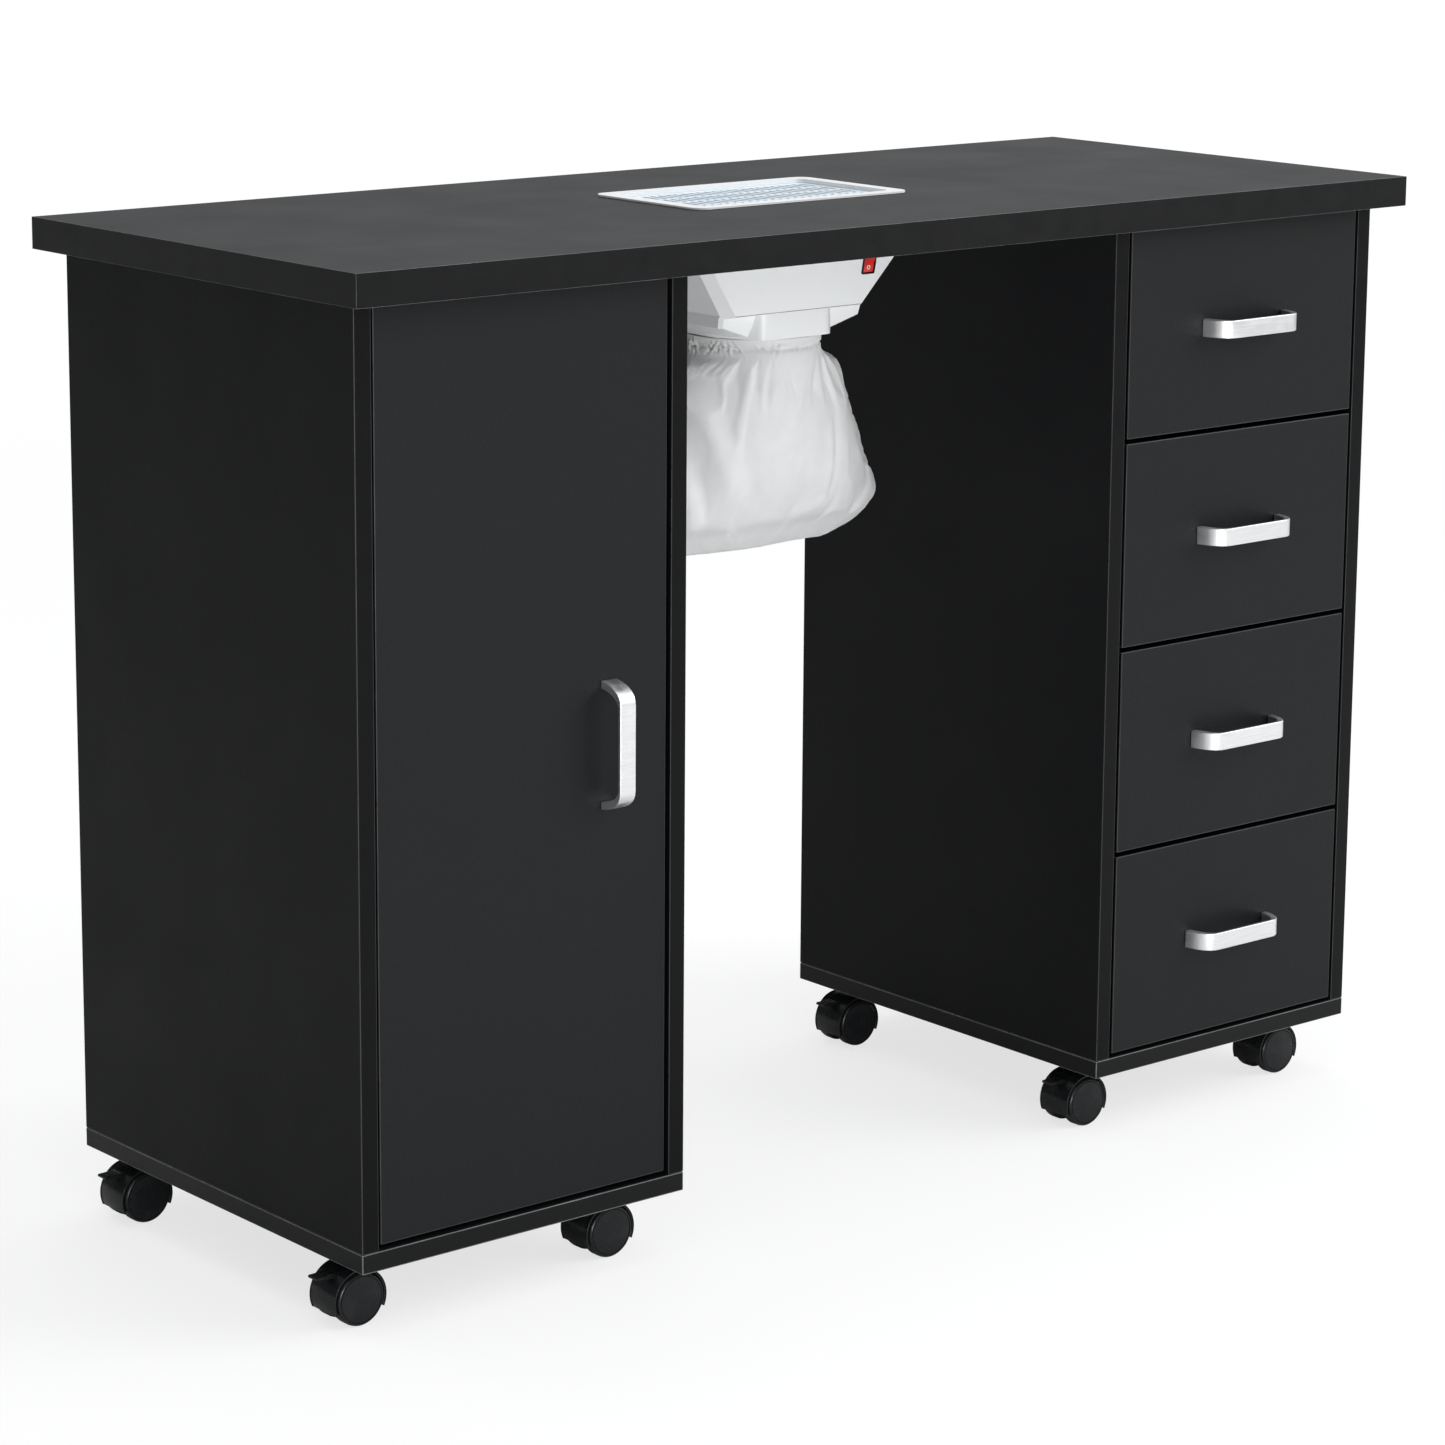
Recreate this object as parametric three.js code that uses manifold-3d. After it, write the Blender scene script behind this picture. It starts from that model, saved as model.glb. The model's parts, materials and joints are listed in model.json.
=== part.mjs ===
// Manicure table: a worktop on two cabinets, with a dust extractor let into the middle of the top.
// Millimetres. The origin is on the floor under the middle of the worktop. +X runs along the length
// towards the drawers, -Y is the side with the door and the drawers, +Z is up.
import * as THREE from "three";
import { mergeVertices } from "three/addons/utils/BufferGeometryUtils.js";
import Module from "manifold-3d";

const wasm = await Module();
wasm.setup();

// ---- driving dimensions ----
const FIT = 0.3; // clearance between two pieces that touch or turn on each other
const THROUGH = 1; // how far a cutting shape runs past the face it cuts
const ROUND = { fine: 40, medium: 28, small: 16 }; // sides of large, middling and small cylinders

const TOP = { length: 1095, depth: 434, thickness: 25 };
const TOP_MIDDLE = 300; // length of the top's middle part, which holds the vent's opening
const TOP_SURFACE = 800;
const TOP_UNDERSIDE = TOP_SURFACE - TOP.thickness;

const BOARD = 15;
const CASTER_HEIGHT = 52;
const CABINET = { width: 306, outerX: 532, frontY: -191, backY: 193 };
const CABINET_FLOOR = CASTER_HEIGHT + BOARD; // upper face of the bottom boards
const OPENING = CABINET.width - 2 * BOARD;
const SHELF_HEIGHT = 415;
const SHELF_SETBACK = 30; // from the front edges of the sides

const FRONT_SIDE_GAP = 3; // between a front and the side panels
const FRONT_GAP = 4; // between fronts, and above and below them
const FRONT_WIDTH = OPENING - 2 * FRONT_SIDE_GAP;
const DOOR_SETBACK = 2;
const HINGE_FROM_END = 100; // from the top and bottom edges of the door
const HINGE_CUP = { radius: 17.5, depth: 12, fromEdge: 22.5 };
// Starts and ends are measured back from the door, thicknesses out from the side panel.
const HINGE_PLATE = { start: 22, end: 66, thickness: 3, half: 22 };
const HINGE_ARM = { start: 12, end: 70, thickness: 13, half: 8 };
const HINGE_CRANK = { end: 16, from: 6, to: 26 };

const DRAWERS = 4;
const DRAWER_PITCH = (TOP_UNDERSIDE - CABINET_FLOOR - FRONT_GAP) / DRAWERS;
const DRAWER_FRONT_HEIGHT = DRAWER_PITCH - FRONT_GAP;
const TRAY = { width: 250, depth: 340, height: 110, wall: 12, base: 5, lift: 22 };
const RUNNER = { length: 336, height: 36, steel: 1.5, flange: 10, lift: 50, setback: 2 };

const HANDLE = { foot: 50, flat: 33, reach: 24, strap: 3, footStrap: 6, lean: 3, width: 15 };
const DOOR_HANDLE_FROM_EDGE = 56;

const WHEEL = { radius: 21, outer: 18.5, inner: 7, axle: 3, bevel: 0.8, segments: 22 };
// The tread's rounded shoulder and the groove round the domed cover: distances in from the tread
// and from the outer face.
const WHEEL_RIM = [
  [0, 2],
  [2, 0.4],
  [4, 1.2],
  [5, 0.6],
];
const CASTER = { insetX: 34, insetY: 45, trail: 16, webHalf: 6.6, pin: 4, pinTop: 66 };
const COLLAR = { radius: 8.5, height: 9 };
const NECK = { belowBoard: 6, front: 7.5, back: -8, rootX: 5, rootRise: 10 };
const FENDER = { inner: 21.8, outer: 23.4, half: 16, webInset: 0.2, from: -25, to: 205 };
const LEVER = { x: -25, z: 34, barrel: 3, rootX: 1, kneeX: -8, kneeZ: 6.4, tipX: -23.3 };
const LEVER_TAB = { thick: 2.6, half: 6.2 };
// What the lever's tab sweeps as it is pressed, in x and z from its pivot.
const LEVER_SWEEP = [
  [0, 2.2],
  [-6, 9.5],
  [-26, 10.5],
  [-26, -6],
  [-10, -0.5],
  [0, -2.2],
];

const DUST = { x: 5, y: 8 }; // centre of the extractor
const CUTOUT = { width: 208, depth: 118, corner: 10 };
const FRAME = { width: 226, depth: 136, corner: 12, lip: 1.5, collar: 18, wall: 3, ledge: 3 };
const GRILLE = { thickness: 5, rows: 4, columns: 20, border: 6, rowRib: 4, slatRib: 3, drop: 3.5 };
const SHELL = 3; // wall of the moulded housing
// Half sizes of the housing's outside at each height, from the worktop down to the drum.
const HOUSING_TOP = { halfX: 124, halfY: 72, chamfer: 8, z: TOP_UNDERSIDE - FIT };
const HOUSING_SEAM = { halfX: 76, halfY: 60, chamfer: 9, z: 711 };
const HOUSING_STEP = { halfX: 76, halfY: 52, chamfer: 3, z: 709 };
const HOUSING_RIM = { halfX: 75, halfY: 50, chamfer: 3, z: 701 };
const HOUSING_BASE = { halfX: 54, halfY: 46, chamfer: 12, z: 691 };
const CHAMBER_FLOOR = 704;
// The ring under the housing: flat in front and behind, with rounded corners that lead into
// slanting sides.
const RING = { top: 713, bottom: 689, front: 59.6, flat: 28, corner: 13, turn: 63, side: 56 };
const OUTLET = { radius: 53, bore: 49, bottom: 671, grip: 1.5, gripHeight: 2 };
const FAN = { radius: 47, hub: 20, top: 701, bottom: 680 };
const BLADE = { count: 7, pitch: 35, half: 10, thick: 2, root: 3 };
const MOTOR = { radius: 18, bottom: 672, top: 679.5 };
const MOTOR_ARM = { count: 3, width: 5, inset: 1, angle: 30 };
const INLET = { x: 60, z: 738, radius: 7, bore: 3.5, reach: 9 }; // boss for the mains cord, at the back
const ROCKER = { x: 74, z: 745.5, width: 11, length: 16, rest: 10, proud: 0.5, belly: 7 };
// The round back of the rocker, as shares of its belly and of half its length.
const ROCKER_BACK = [
  [0.3, 1],
  [0.85, 0.5],
  [1, 0],
  [0.85, -0.5],
  [0.3, -1],
];
const ROCKER_SLOT = { width: 11.6, length: 17.4, reach: 10 };
// The bag's outline at each height: half sizes, and the power of its superellipse.
const BAG_RINGS = [
  { z: 670.5, halfX: 50, halfY: 50, power: 2 },
  { z: 660, halfX: 84, halfY: 53, power: 2 },
  { z: 636, halfX: 97, halfY: 57, power: 2.1 },
  { z: 606, halfX: 112, halfY: 57, power: 2.2 },
  { z: 572, halfX: 125, halfY: 52, power: 2.3 },
  { z: 544, halfX: 138, halfY: 36, power: 2.4 },
  { z: 530, halfX: 127, halfY: 20, power: 2.5 },
  { z: 520, halfX: 111, halfY: 11, power: 2.5 },
  { z: 513, halfX: 88, halfY: 5, power: 2.5 },
];

// ---- helpers: three.js shapes in, three.js geometry out ----

function toSolid(geometry) {
  const bare = geometry.clone();
  bare.deleteAttribute("normal");
  bare.deleteAttribute("uv");
  const welded = mergeVertices(bare, 1e-4);
  return new wasm.Manifold(
    new wasm.Mesh({
      numProp: 3,
      vertProperties: new Float32Array(welded.attributes.position.array),
      triVerts: new Uint32Array(welded.index.array),
    }),
  );
}

function toGeometry(solid) {
  const mesh = solid.getMesh();
  const geometry = new THREE.BufferGeometry();
  geometry.setAttribute("position", new THREE.BufferAttribute(mesh.vertProperties, 3));
  geometry.setIndex(new THREE.BufferAttribute(mesh.triVerts, 1));
  const flat = geometry.toNonIndexed();
  flat.computeVertexNormals();
  return flat;
}

function join(first, ...others) {
  return toGeometry(others.reduce((sum, other) => sum.add(toSolid(other)), toSolid(first)));
}

function cut(body, ...tools) {
  return toGeometry(tools.reduce((left, tool) => left.subtract(toSolid(tool)), toSolid(body)));
}

// A box between two opposite corners.
function block(from, to) {
  const size = to.map((value, axis) => value - from[axis]);
  const middle = to.map((value, axis) => (value + from[axis]) / 2);
  return new THREE.BoxGeometry(...size).translate(...middle);
}

// A cylinder along Z between two heights.
function rod(radius, bottom, top, sides, x = 0, y = 0) {
  return new THREE.CylinderGeometry(radius, radius, top - bottom, sides)
    .rotateX(Math.PI / 2)
    .translate(x, y, (top + bottom) / 2);
}

// A cylinder along Y, centred on the XZ plane.
function axleRod(radius, half, sides, x = 0, z = 0) {
  return new THREE.CylinderGeometry(radius, radius, 2 * half, sides).translate(x, 0, z);
}

// A shape drawn in x and z, extruded by half each way along Y.
function profileXZ(shape, half) {
  return new THREE.ExtrudeGeometry(shape, { depth: 2 * half, bevelEnabled: false, curveSegments: 10 })
    .rotateX(Math.PI / 2)
    .translate(0, half, 0);
}

function polygon(points) {
  return new THREE.Shape(points.map(([x, y]) => new THREE.Vector2(x, y)));
}

function roundedRectangle(width, depth, radius) {
  const shape = new THREE.Shape();
  const x = width / 2 - radius;
  const y = depth / 2 - radius;
  shape.absarc(x, y, radius, 0, Math.PI / 2);
  shape.absarc(-x, y, radius, Math.PI / 2, Math.PI);
  shape.absarc(-x, -y, radius, Math.PI, 1.5 * Math.PI);
  shape.absarc(x, -y, radius, 1.5 * Math.PI, 2 * Math.PI);
  return shape;
}

// A rounded rectangular block around the extractor's centre line, between two heights.
function roundedBlock(width, depth, radius, bottom, top) {
  return new THREE.ExtrudeGeometry(roundedRectangle(width, depth, radius), {
    depth: top - bottom,
    bevelEnabled: false,
    curveSegments: 4,
  }).translate(DUST.x, DUST.y, bottom);
}

// A closed skin over rings of equally many points, listed from the top down, each going round
// anticlockwise seen from above. A ring is an array of [x, y, z].
function loft(rings) {
  const count = rings[0].length;
  const middles = [rings[0], rings.at(-1)].map((ring) =>
    [0, 1, 2].map((axis) => ring.reduce((sum, point) => sum + point[axis], 0) / count),
  );
  const points = [...rings.flat(), ...middles];
  const topMiddle = rings.length * count;
  const bottomMiddle = topMiddle + 1;
  const lastRing = (rings.length - 1) * count;
  const faces = [];
  for (let i = 0; i < count; i++) {
    const next = (i + 1) % count;
    faces.push(topMiddle, i, next);
    faces.push(bottomMiddle, lastRing + next, lastRing + i);
    for (let r = 0; r < lastRing; r += count) {
      faces.push(r + i, r + count + i, r + count + next);
      faces.push(r + i, r + count + next, r + next);
    }
  }
  const geometry = new THREE.BufferGeometry();
  geometry.setAttribute("position", new THREE.Float32BufferAttribute(points.flat(), 3));
  geometry.setIndex(faces);
  return geometry.toNonIndexed();
}

// A rectangle with cut corners around the extractor's centre line.
function chamferedRing(z, halfX, halfY, chamfer) {
  const corners = [
    [1, -1],
    [1, 1],
    [-1, 1],
    [-1, -1],
  ];
  return corners.flatMap(([sx, sy], i) => {
    const onSide = [sx * halfX, sy * (halfY - chamfer)];
    const onEnd = [sx * (halfX - chamfer), sy * halfY];
    const pair = i % 2 === 0 ? [onEnd, onSide] : [onSide, onEnd];
    return pair.map(([x, y]) => [DUST.x + x, DUST.y + y, z]);
  });
}

// A superellipse around the extractor's centre line.
function softRing({ z, halfX, halfY, power }) {
  return Array.from({ length: ROUND.medium }, (_, i) => {
    const angle = (2 * Math.PI * i) / ROUND.medium;
    const c = Math.cos(angle);
    const s = Math.sin(angle);
    return [
      DUST.x + halfX * Math.sign(c) * Math.abs(c) ** (2 / power),
      DUST.y + halfY * Math.sign(s) * Math.abs(s) ** (2 / power),
      z,
    ];
  });
}

// ---- materials ----
const melamine = { color: 0x18191b, roughness: 0.55, metalness: 0 };
const chipboardInside = { color: 0x202124, roughness: 0.6, metalness: 0 };
const satinSilver = { color: 0xd7d9dc, roughness: 0.3, metalness: 0.9 };
const zincSteel = { color: 0xb4b8bc, roughness: 0.35, metalness: 0.9 };
const blackNylon = { color: 0x17181a, roughness: 0.45, metalness: 0 };
const whitePlastic = { color: 0xeceef0, roughness: 0.35, metalness: 0 };
const paleGrille = { color: 0xc9d8e4, roughness: 0.35, metalness: 0 };
const greyFan = { color: 0x2b2d30, roughness: 0.5, metalness: 0 };
const redRocker = { color: 0xd01818, roughness: 0.25, metalness: 0 };
const nonWoven = { color: 0xf1f2f3, roughness: 0.9, metalness: 0 };

const table = new THREE.Group();

function add(name, geometry, look) {
  const mesh = new THREE.Mesh(geometry, new THREE.MeshStandardMaterial(look));
  mesh.name = name;
  table.add(mesh);
  return mesh;
}

// ---- worktop ----
// One board, joined from three lengths so that the plain top on each side of the opening is a
// face of its own.
function addWorktop() {
  const length = (fromX, toX) =>
    block([fromX, -TOP.depth / 2, TOP_UNDERSIDE], [toX, TOP.depth / 2, TOP_SURFACE]);
  const opening = roundedBlock(
    CUTOUT.width,
    CUTOUT.depth,
    CUTOUT.corner,
    TOP_UNDERSIDE - THROUGH,
    TOP_SURFACE + THROUGH,
  );
  const middle = cut(length(-TOP_MIDDLE / 2, TOP_MIDDLE / 2), opening);
  const leftEnd = length(-TOP.length / 2, -TOP_MIDDLE / 2);
  const rightEnd = length(TOP_MIDDLE / 2, TOP.length / 2);
  add("worktop", join(middle, leftEnd, rightEnd), melamine);
}

// ---- cabinets ----
const cabinets = [
  { side: "left", minX: -CABINET.outerX },
  { side: "right", minX: CABINET.outerX - CABINET.width },
].map((cabinet) => ({ ...cabinet, maxX: cabinet.minX + CABINET.width }));
const [doorCabinet, drawerCabinet] = cabinets;

// Where the caster pins of one cabinet stand.
function pinPlaces({ minX, maxX }) {
  return [
    { place: "front_left", x: minX + CASTER.insetX, y: CABINET.frontY + CASTER.insetY, brake: true },
    { place: "front_right", x: maxX - CASTER.insetX, y: CABINET.frontY + CASTER.insetY, brake: false },
    { place: "back_left", x: minX + CASTER.insetX, y: CABINET.backY - CASTER.insetY, brake: true },
    { place: "back_right", x: maxX - CASTER.insetX, y: CABINET.backY - CASTER.insetY, brake: false },
  ];
}

function addCarcass(cabinet) {
  const { side, minX, maxX } = cabinet;
  const bottomBoard = block(
    [minX, CABINET.frontY, CASTER_HEIGHT],
    [maxX, CABINET.backY, CABINET_FLOOR],
  );
  const pinHoles = pinPlaces(cabinet).map(({ x, y }) =>
    rod(CASTER.pin + FIT, CASTER_HEIGHT - THROUGH, CABINET_FLOOR + THROUGH, ROUND.small, x, y),
  );
  add(`${side}_cabinet_bottom`, cut(bottomBoard, ...pinHoles), melamine);

  const sideBottom = CABINET_FLOOR + FIT;
  const sideTop = TOP_UNDERSIDE - FIT;
  add(
    `${side}_cabinet_left_side`,
    block([minX, CABINET.frontY, sideBottom], [minX + BOARD, CABINET.backY, sideTop]),
    melamine,
  );
  add(
    `${side}_cabinet_right_side`,
    block([maxX - BOARD, CABINET.frontY, sideBottom], [maxX, CABINET.backY, sideTop]),
    melamine,
  );
  add(
    `${side}_cabinet_back`,
    block(
      [minX + BOARD + FIT, CABINET.backY - BOARD, sideBottom],
      [maxX - BOARD - FIT, CABINET.backY, sideTop],
    ),
    melamine,
  );
}

function addShelf({ side, minX, maxX }) {
  add(
    `${side}_cabinet_shelf`,
    block(
      [minX + BOARD + FIT, CABINET.frontY + SHELF_SETBACK, SHELF_HEIGHT - BOARD],
      [maxX - BOARD - FIT, CABINET.backY - BOARD - FIT, SHELF_HEIGHT],
    ),
    chipboardInside,
  );
}

// ---- handles ----
// A bowed strap seen from above: feet on y = 0 at x = -foot and +foot, reaching towards -Y.
function handleOutline() {
  const { foot, flat, reach, strap, footStrap, lean } = HANDLE;
  const innerFoot = foot - footStrap;
  const innerFlat = flat - strap;
  const innerReach = reach - strap;
  const shape = new THREE.Shape();
  shape.moveTo(-foot, 0);
  shape.quadraticCurveTo(-foot + lean, -reach, -flat, -reach);
  shape.lineTo(flat, -reach);
  shape.quadraticCurveTo(foot - lean, -reach, foot, 0);
  shape.lineTo(innerFoot, 0);
  shape.quadraticCurveTo(innerFoot - lean, -innerReach, innerFlat, -innerReach);
  shape.lineTo(-innerFlat, -innerReach);
  shape.quadraticCurveTo(-innerFoot + lean, -innerReach, -innerFoot, 0);
  return shape;
}

// The handle lies along X with its strap width along Z, and its feet on the plane y = 0.
function handleGeometry() {
  return new THREE.ExtrudeGeometry(handleOutline(), {
    depth: HANDLE.width,
    bevelEnabled: false,
    curveSegments: 7,
  }).translate(0, 0, -HANDLE.width / 2);
}

// ---- door ----
const doorMinX = doorCabinet.minX + BOARD + FRONT_SIDE_GAP;
const doorFaceY = CABINET.frontY + DOOR_SETBACK;
const doorBottom = CABINET_FLOOR + FRONT_GAP;
const doorTop = TOP_UNDERSIDE - FRONT_GAP;

function addDoor() {
  const panel = block(
    [doorMinX, doorFaceY, doorBottom],
    [doorMinX + FRONT_WIDTH, doorFaceY + BOARD, doorTop],
  );
  const cupBores = [doorBottom + HINGE_FROM_END, doorTop - HINGE_FROM_END].map((z) =>
    axleRod(HINGE_CUP.radius, HINGE_CUP.depth, ROUND.medium).translate(
      doorMinX + HINGE_CUP.fromEdge,
      doorFaceY + BOARD,
      z,
    ),
  );
  add("door", cut(panel, ...cupBores), melamine);
  const handle = handleGeometry()
    .rotateY(Math.PI / 2)
    .translate(
      doorMinX + FRONT_WIDTH - DOOR_HANDLE_FROM_EDGE,
      doorFaceY - FIT,
      (doorBottom + doorTop) / 2,
    );
  add("door_handle", handle, satinSilver);
}

// The cabinet half of a concealed hinge: a plate on the side panel and a cranked arm that
// ends behind the cup in the door.
function addHinge(name, z) {
  const panelX = doorCabinet.minX + BOARD + FIT;
  const behindDoor = doorFaceY + BOARD + FIT;
  const plate = block(
    [panelX, behindDoor + HINGE_PLATE.start, z - HINGE_PLATE.half],
    [panelX + HINGE_PLATE.thickness, behindDoor + HINGE_PLATE.end, z + HINGE_PLATE.half],
  );
  const arm = block(
    [panelX, behindDoor + HINGE_ARM.start, z - HINGE_ARM.half],
    [panelX + HINGE_ARM.thickness, behindDoor + HINGE_ARM.end, z + HINGE_ARM.half],
  );
  const crank = block(
    [panelX + HINGE_CRANK.from, behindDoor, z - HINGE_ARM.half],
    [panelX + HINGE_CRANK.to, behindDoor + HINGE_CRANK.end, z + HINGE_ARM.half],
  );
  add(name, join(plate, arm, crank), zincSteel);
}

// ---- drawers ----
function addDrawer(number) {
  const centreX = (drawerCabinet.minX + drawerCabinet.maxX) / 2;
  const bottom = CABINET_FLOOR + FRONT_GAP + (DRAWERS - number) * DRAWER_PITCH;
  const name = `drawer_${number}`;

  add(
    `${name}_front`,
    block(
      [centreX - FRONT_WIDTH / 2, CABINET.frontY, bottom],
      [centreX + FRONT_WIDTH / 2, CABINET.frontY + BOARD, bottom + DRAWER_FRONT_HEIGHT],
    ),
    melamine,
  );
  add(
    `${name}_handle`,
    handleGeometry().translate(centreX, CABINET.frontY - FIT, bottom + DRAWER_FRONT_HEIGHT / 2),
    satinSilver,
  );

  const trayFront = CABINET.frontY + BOARD + FIT;
  const trayBottom = bottom + TRAY.lift;
  const outside = block(
    [centreX - TRAY.width / 2, trayFront, trayBottom],
    [centreX + TRAY.width / 2, trayFront + TRAY.depth, trayBottom + TRAY.height],
  );
  // The drawer front closes the tray, so the hollow runs out through its front.
  const hollow = block(
    [centreX - TRAY.width / 2 + TRAY.wall, trayFront - THROUGH, trayBottom + TRAY.base],
    [
      centreX + TRAY.width / 2 - TRAY.wall,
      trayFront + TRAY.depth - TRAY.wall,
      trayBottom + TRAY.height + THROUGH,
    ],
  );
  add(`${name}_tray`, cut(outside, hollow), chipboardInside);

  for (const [label, sign] of [
    ["left", -1],
    ["right", 1],
  ]) {
    const wallX = centreX + sign * (OPENING / 2 - FIT);
    add(`${name}_runner_${label}`, runner(wallX, sign, trayFront, bottom + RUNNER.lift), zincSteel);
  }
}

// The cabinet half of a drawer runner: a channel on the side panel, open towards the tray.
function runner(wallX, sign, front, bottom) {
  const { length, height, steel, flange, setback } = RUNNER;
  const inward = -sign;
  const channel = polygon([
    [0, 0],
    [inward * flange, 0],
    [inward * flange, steel],
    [inward * steel, steel],
    [inward * steel, height - steel],
    [inward * flange, height - steel],
    [inward * flange, height],
    [0, height],
  ]);
  return profileXZ(channel, length / 2).translate(wallX, front + setback + length / 2, bottom);
}

// ---- casters ----
// Both wheels of a caster turn on one axle, so they are one piece. Each half of the profile goes
// out along the tread, over its shoulder and groove, and across the domed cover.
function wheelPair() {
  const { radius, outer, inner, axle, bevel, segments } = WHEEL;
  const half = [
    [axle, inner],
    [radius - bevel, inner],
    [radius, inner + bevel],
    ...WHEEL_RIM.map(([inward, down]) => [radius - inward, outer - down]),
    [0, outer],
  ];
  const mirrored = half.map(([r, y]) => [r, -y]).reverse();
  const profile = [...mirrored, ...half].map(([r, y]) => new THREE.Vector2(r, y));
  return new THREE.LatheGeometry(profile, segments);
}

// The hood: a web between the wheels, a fender over them, a collar and the pin at x = 0.
function hoodGeometry(brake) {
  const { trail, webHalf, pin, pinTop } = CASTER;
  const axleZ = WHEEL.radius;
  const start = (FENDER.from * Math.PI) / 180;
  const end = (FENDER.to * Math.PI) / 180;
  const webOutline = new THREE.Shape();
  webOutline.absarc(-trail, axleZ, FENDER.outer - FENDER.webInset, start, end);
  const fenderOutline = new THREE.Shape();
  fenderOutline.absarc(-trail, axleZ, FENDER.outer, start, end);
  fenderOutline.absarc(-trail, axleZ, FENDER.inner, end, start, true);
  const web = profileXZ(webOutline, webHalf);
  const fender = profileXZ(fenderOutline, FENDER.half);
  const neck = profileXZ(
    polygon([
      [-trail, axleZ],
      [NECK.rootX, axleZ + NECK.rootRise],
      [NECK.front, CASTER_HEIGHT - NECK.belowBoard],
      [NECK.back, CASTER_HEIGHT - NECK.belowBoard],
    ]),
    webHalf,
  );
  const collarBottom = CASTER_HEIGHT - COLLAR.height;
  const collar = rod(COLLAR.radius, collarBottom, CASTER_HEIGHT - FIT, ROUND.small);
  const stem = rod(pin, collarBottom, pinTop, ROUND.small);
  const axleHole = axleRod(WHEEL.axle + FIT, webHalf + THROUGH, ROUND.small, -trail, axleZ);
  const body = join(web, fender, neck, collar, stem);
  if (!brake) return cut(body, axleHole);
  const { x, z, barrel } = LEVER;
  const barrelSeat = axleRod(barrel + FIT, webHalf + THROUGH, ROUND.small, x, z);
  const tabSweep = profileXZ(polygon(LEVER_SWEEP), webHalf + THROUGH).translate(x, 0, z);
  return cut(body, axleHole, barrelSeat, tabSweep);
}

// The foot lever that locks a caster: a barrel in the hood and a tab that points away from the pin.
function leverGeometry() {
  const { x, z, barrel, rootX, kneeX, kneeZ, tipX } = LEVER;
  const { thick, half } = LEVER_TAB;
  const pivot = axleRod(barrel, half, ROUND.small);
  const tab = profileXZ(
    polygon([
      [rootX, thick / 2],
      [kneeX, kneeZ + thick / 2],
      [tipX, kneeZ + thick / 2],
      [tipX, kneeZ - thick / 2],
      [kneeX + rootX, kneeZ - thick / 2],
      [rootX, -thick / 2],
    ]),
    half,
  );
  return join(pivot, tab).translate(x, 0, z);
}

function addCasters(cabinet) {
  for (const { place, x, y, brake } of pinPlaces(cabinet)) {
    const name = `${cabinet.side}_caster_${place}`;
    add(`${name}_hood`, hoodGeometry(brake).translate(x, y, 0), blackNylon);
    add(`${name}_wheels`, wheelPair().translate(x - CASTER.trail, y, WHEEL.radius), blackNylon);
    if (brake) add(`${name}_brake`, leverGeometry().translate(x, y, 0), blackNylon);
  }
}

// ---- dust extractor ----
const grilleTop = TOP_SURFACE + FIT + FRAME.lip - GRILLE.drop;
const grilleBottom = grilleTop - GRILLE.thickness;
const collarWidth = CUTOUT.width - 2 * FIT;
const collarDepth = CUTOUT.depth - 2 * FIT;
const grilleWidth = collarWidth - 2 * FRAME.wall - 2 * FIT;
const grilleDepth = collarDepth - 2 * FRAME.wall - 2 * FIT;

// The moulded trim ring: a lip on the worktop and a collar down the cut-out, with a ledge inside.
function addVentFrame() {
  const lipBottom = TOP_SURFACE + FIT;
  const lipTop = lipBottom + FRAME.lip;
  const collarBottom = TOP_SURFACE - FRAME.collar;
  const lip = roundedBlock(FRAME.width, FRAME.depth, FRAME.corner, lipBottom, lipTop);
  const collar = roundedBlock(
    collarWidth,
    collarDepth,
    CUTOUT.corner - FIT,
    collarBottom,
    lipBottom + FRAME.lip / 2,
  );
  const seatBottom = grilleBottom - FIT;
  const seat = roundedBlock(
    collarWidth - 2 * FRAME.wall,
    collarDepth - 2 * FRAME.wall,
    CUTOUT.corner - FRAME.wall,
    seatBottom,
    lipTop + THROUGH,
  );
  const throat = roundedBlock(
    collarWidth - 2 * (FRAME.wall + FRAME.ledge),
    collarDepth - 2 * (FRAME.wall + FRAME.ledge),
    CUTOUT.corner - FRAME.wall - FRAME.ledge,
    collarBottom - THROUGH,
    lipTop + THROUGH,
  );
  add("vent_frame", cut(join(lip, collar), seat, throat), whitePlastic);
}

// The lift-out grille: rows of narrow slots, the rows parted by ribs along X.
function addGrille() {
  const { rows, columns, border, rowRib, slatRib } = GRILLE;
  const slab = roundedBlock(
    grilleWidth,
    grilleDepth,
    CUTOUT.corner - FRAME.wall - FIT,
    grilleBottom,
    grilleTop,
  );
  const slotWidth = (grilleWidth - 2 * border - (columns - 1) * slatRib) / columns;
  const slotDepth = (grilleDepth - 2 * border - (rows - 1) * rowRib) / rows;
  const slots = [];
  for (let row = 0; row < rows; row++) {
    for (let column = 0; column < columns; column++) {
      const x = DUST.x - grilleWidth / 2 + border + column * (slotWidth + slatRib);
      const y = DUST.y - grilleDepth / 2 + border + row * (slotDepth + rowRib);
      slots.push(
        block([x, y, grilleBottom - THROUGH], [x + slotWidth, y + slotDepth, grilleTop + THROUGH]),
      );
    }
  }
  add("vent_grille", cut(slab, ...slots), paleGrille);
}

function housingRings(sections, inset) {
  return sections.map(({ z, halfX, halfY, chamfer }) =>
    chamferedRing(z, halfX - inset, halfY - inset, chamfer),
  );
}

// Slope of the housing's front wall, and the wall's y at a height.
const wallLean = Math.atan2(
  HOUSING_TOP.halfY - HOUSING_SEAM.halfY,
  HOUSING_TOP.z - HOUSING_SEAM.z,
);
function frontWallY(z) {
  return DUST.y - HOUSING_SEAM.halfY - (z - HOUSING_SEAM.z) * Math.tan(wallLean);
}

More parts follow.
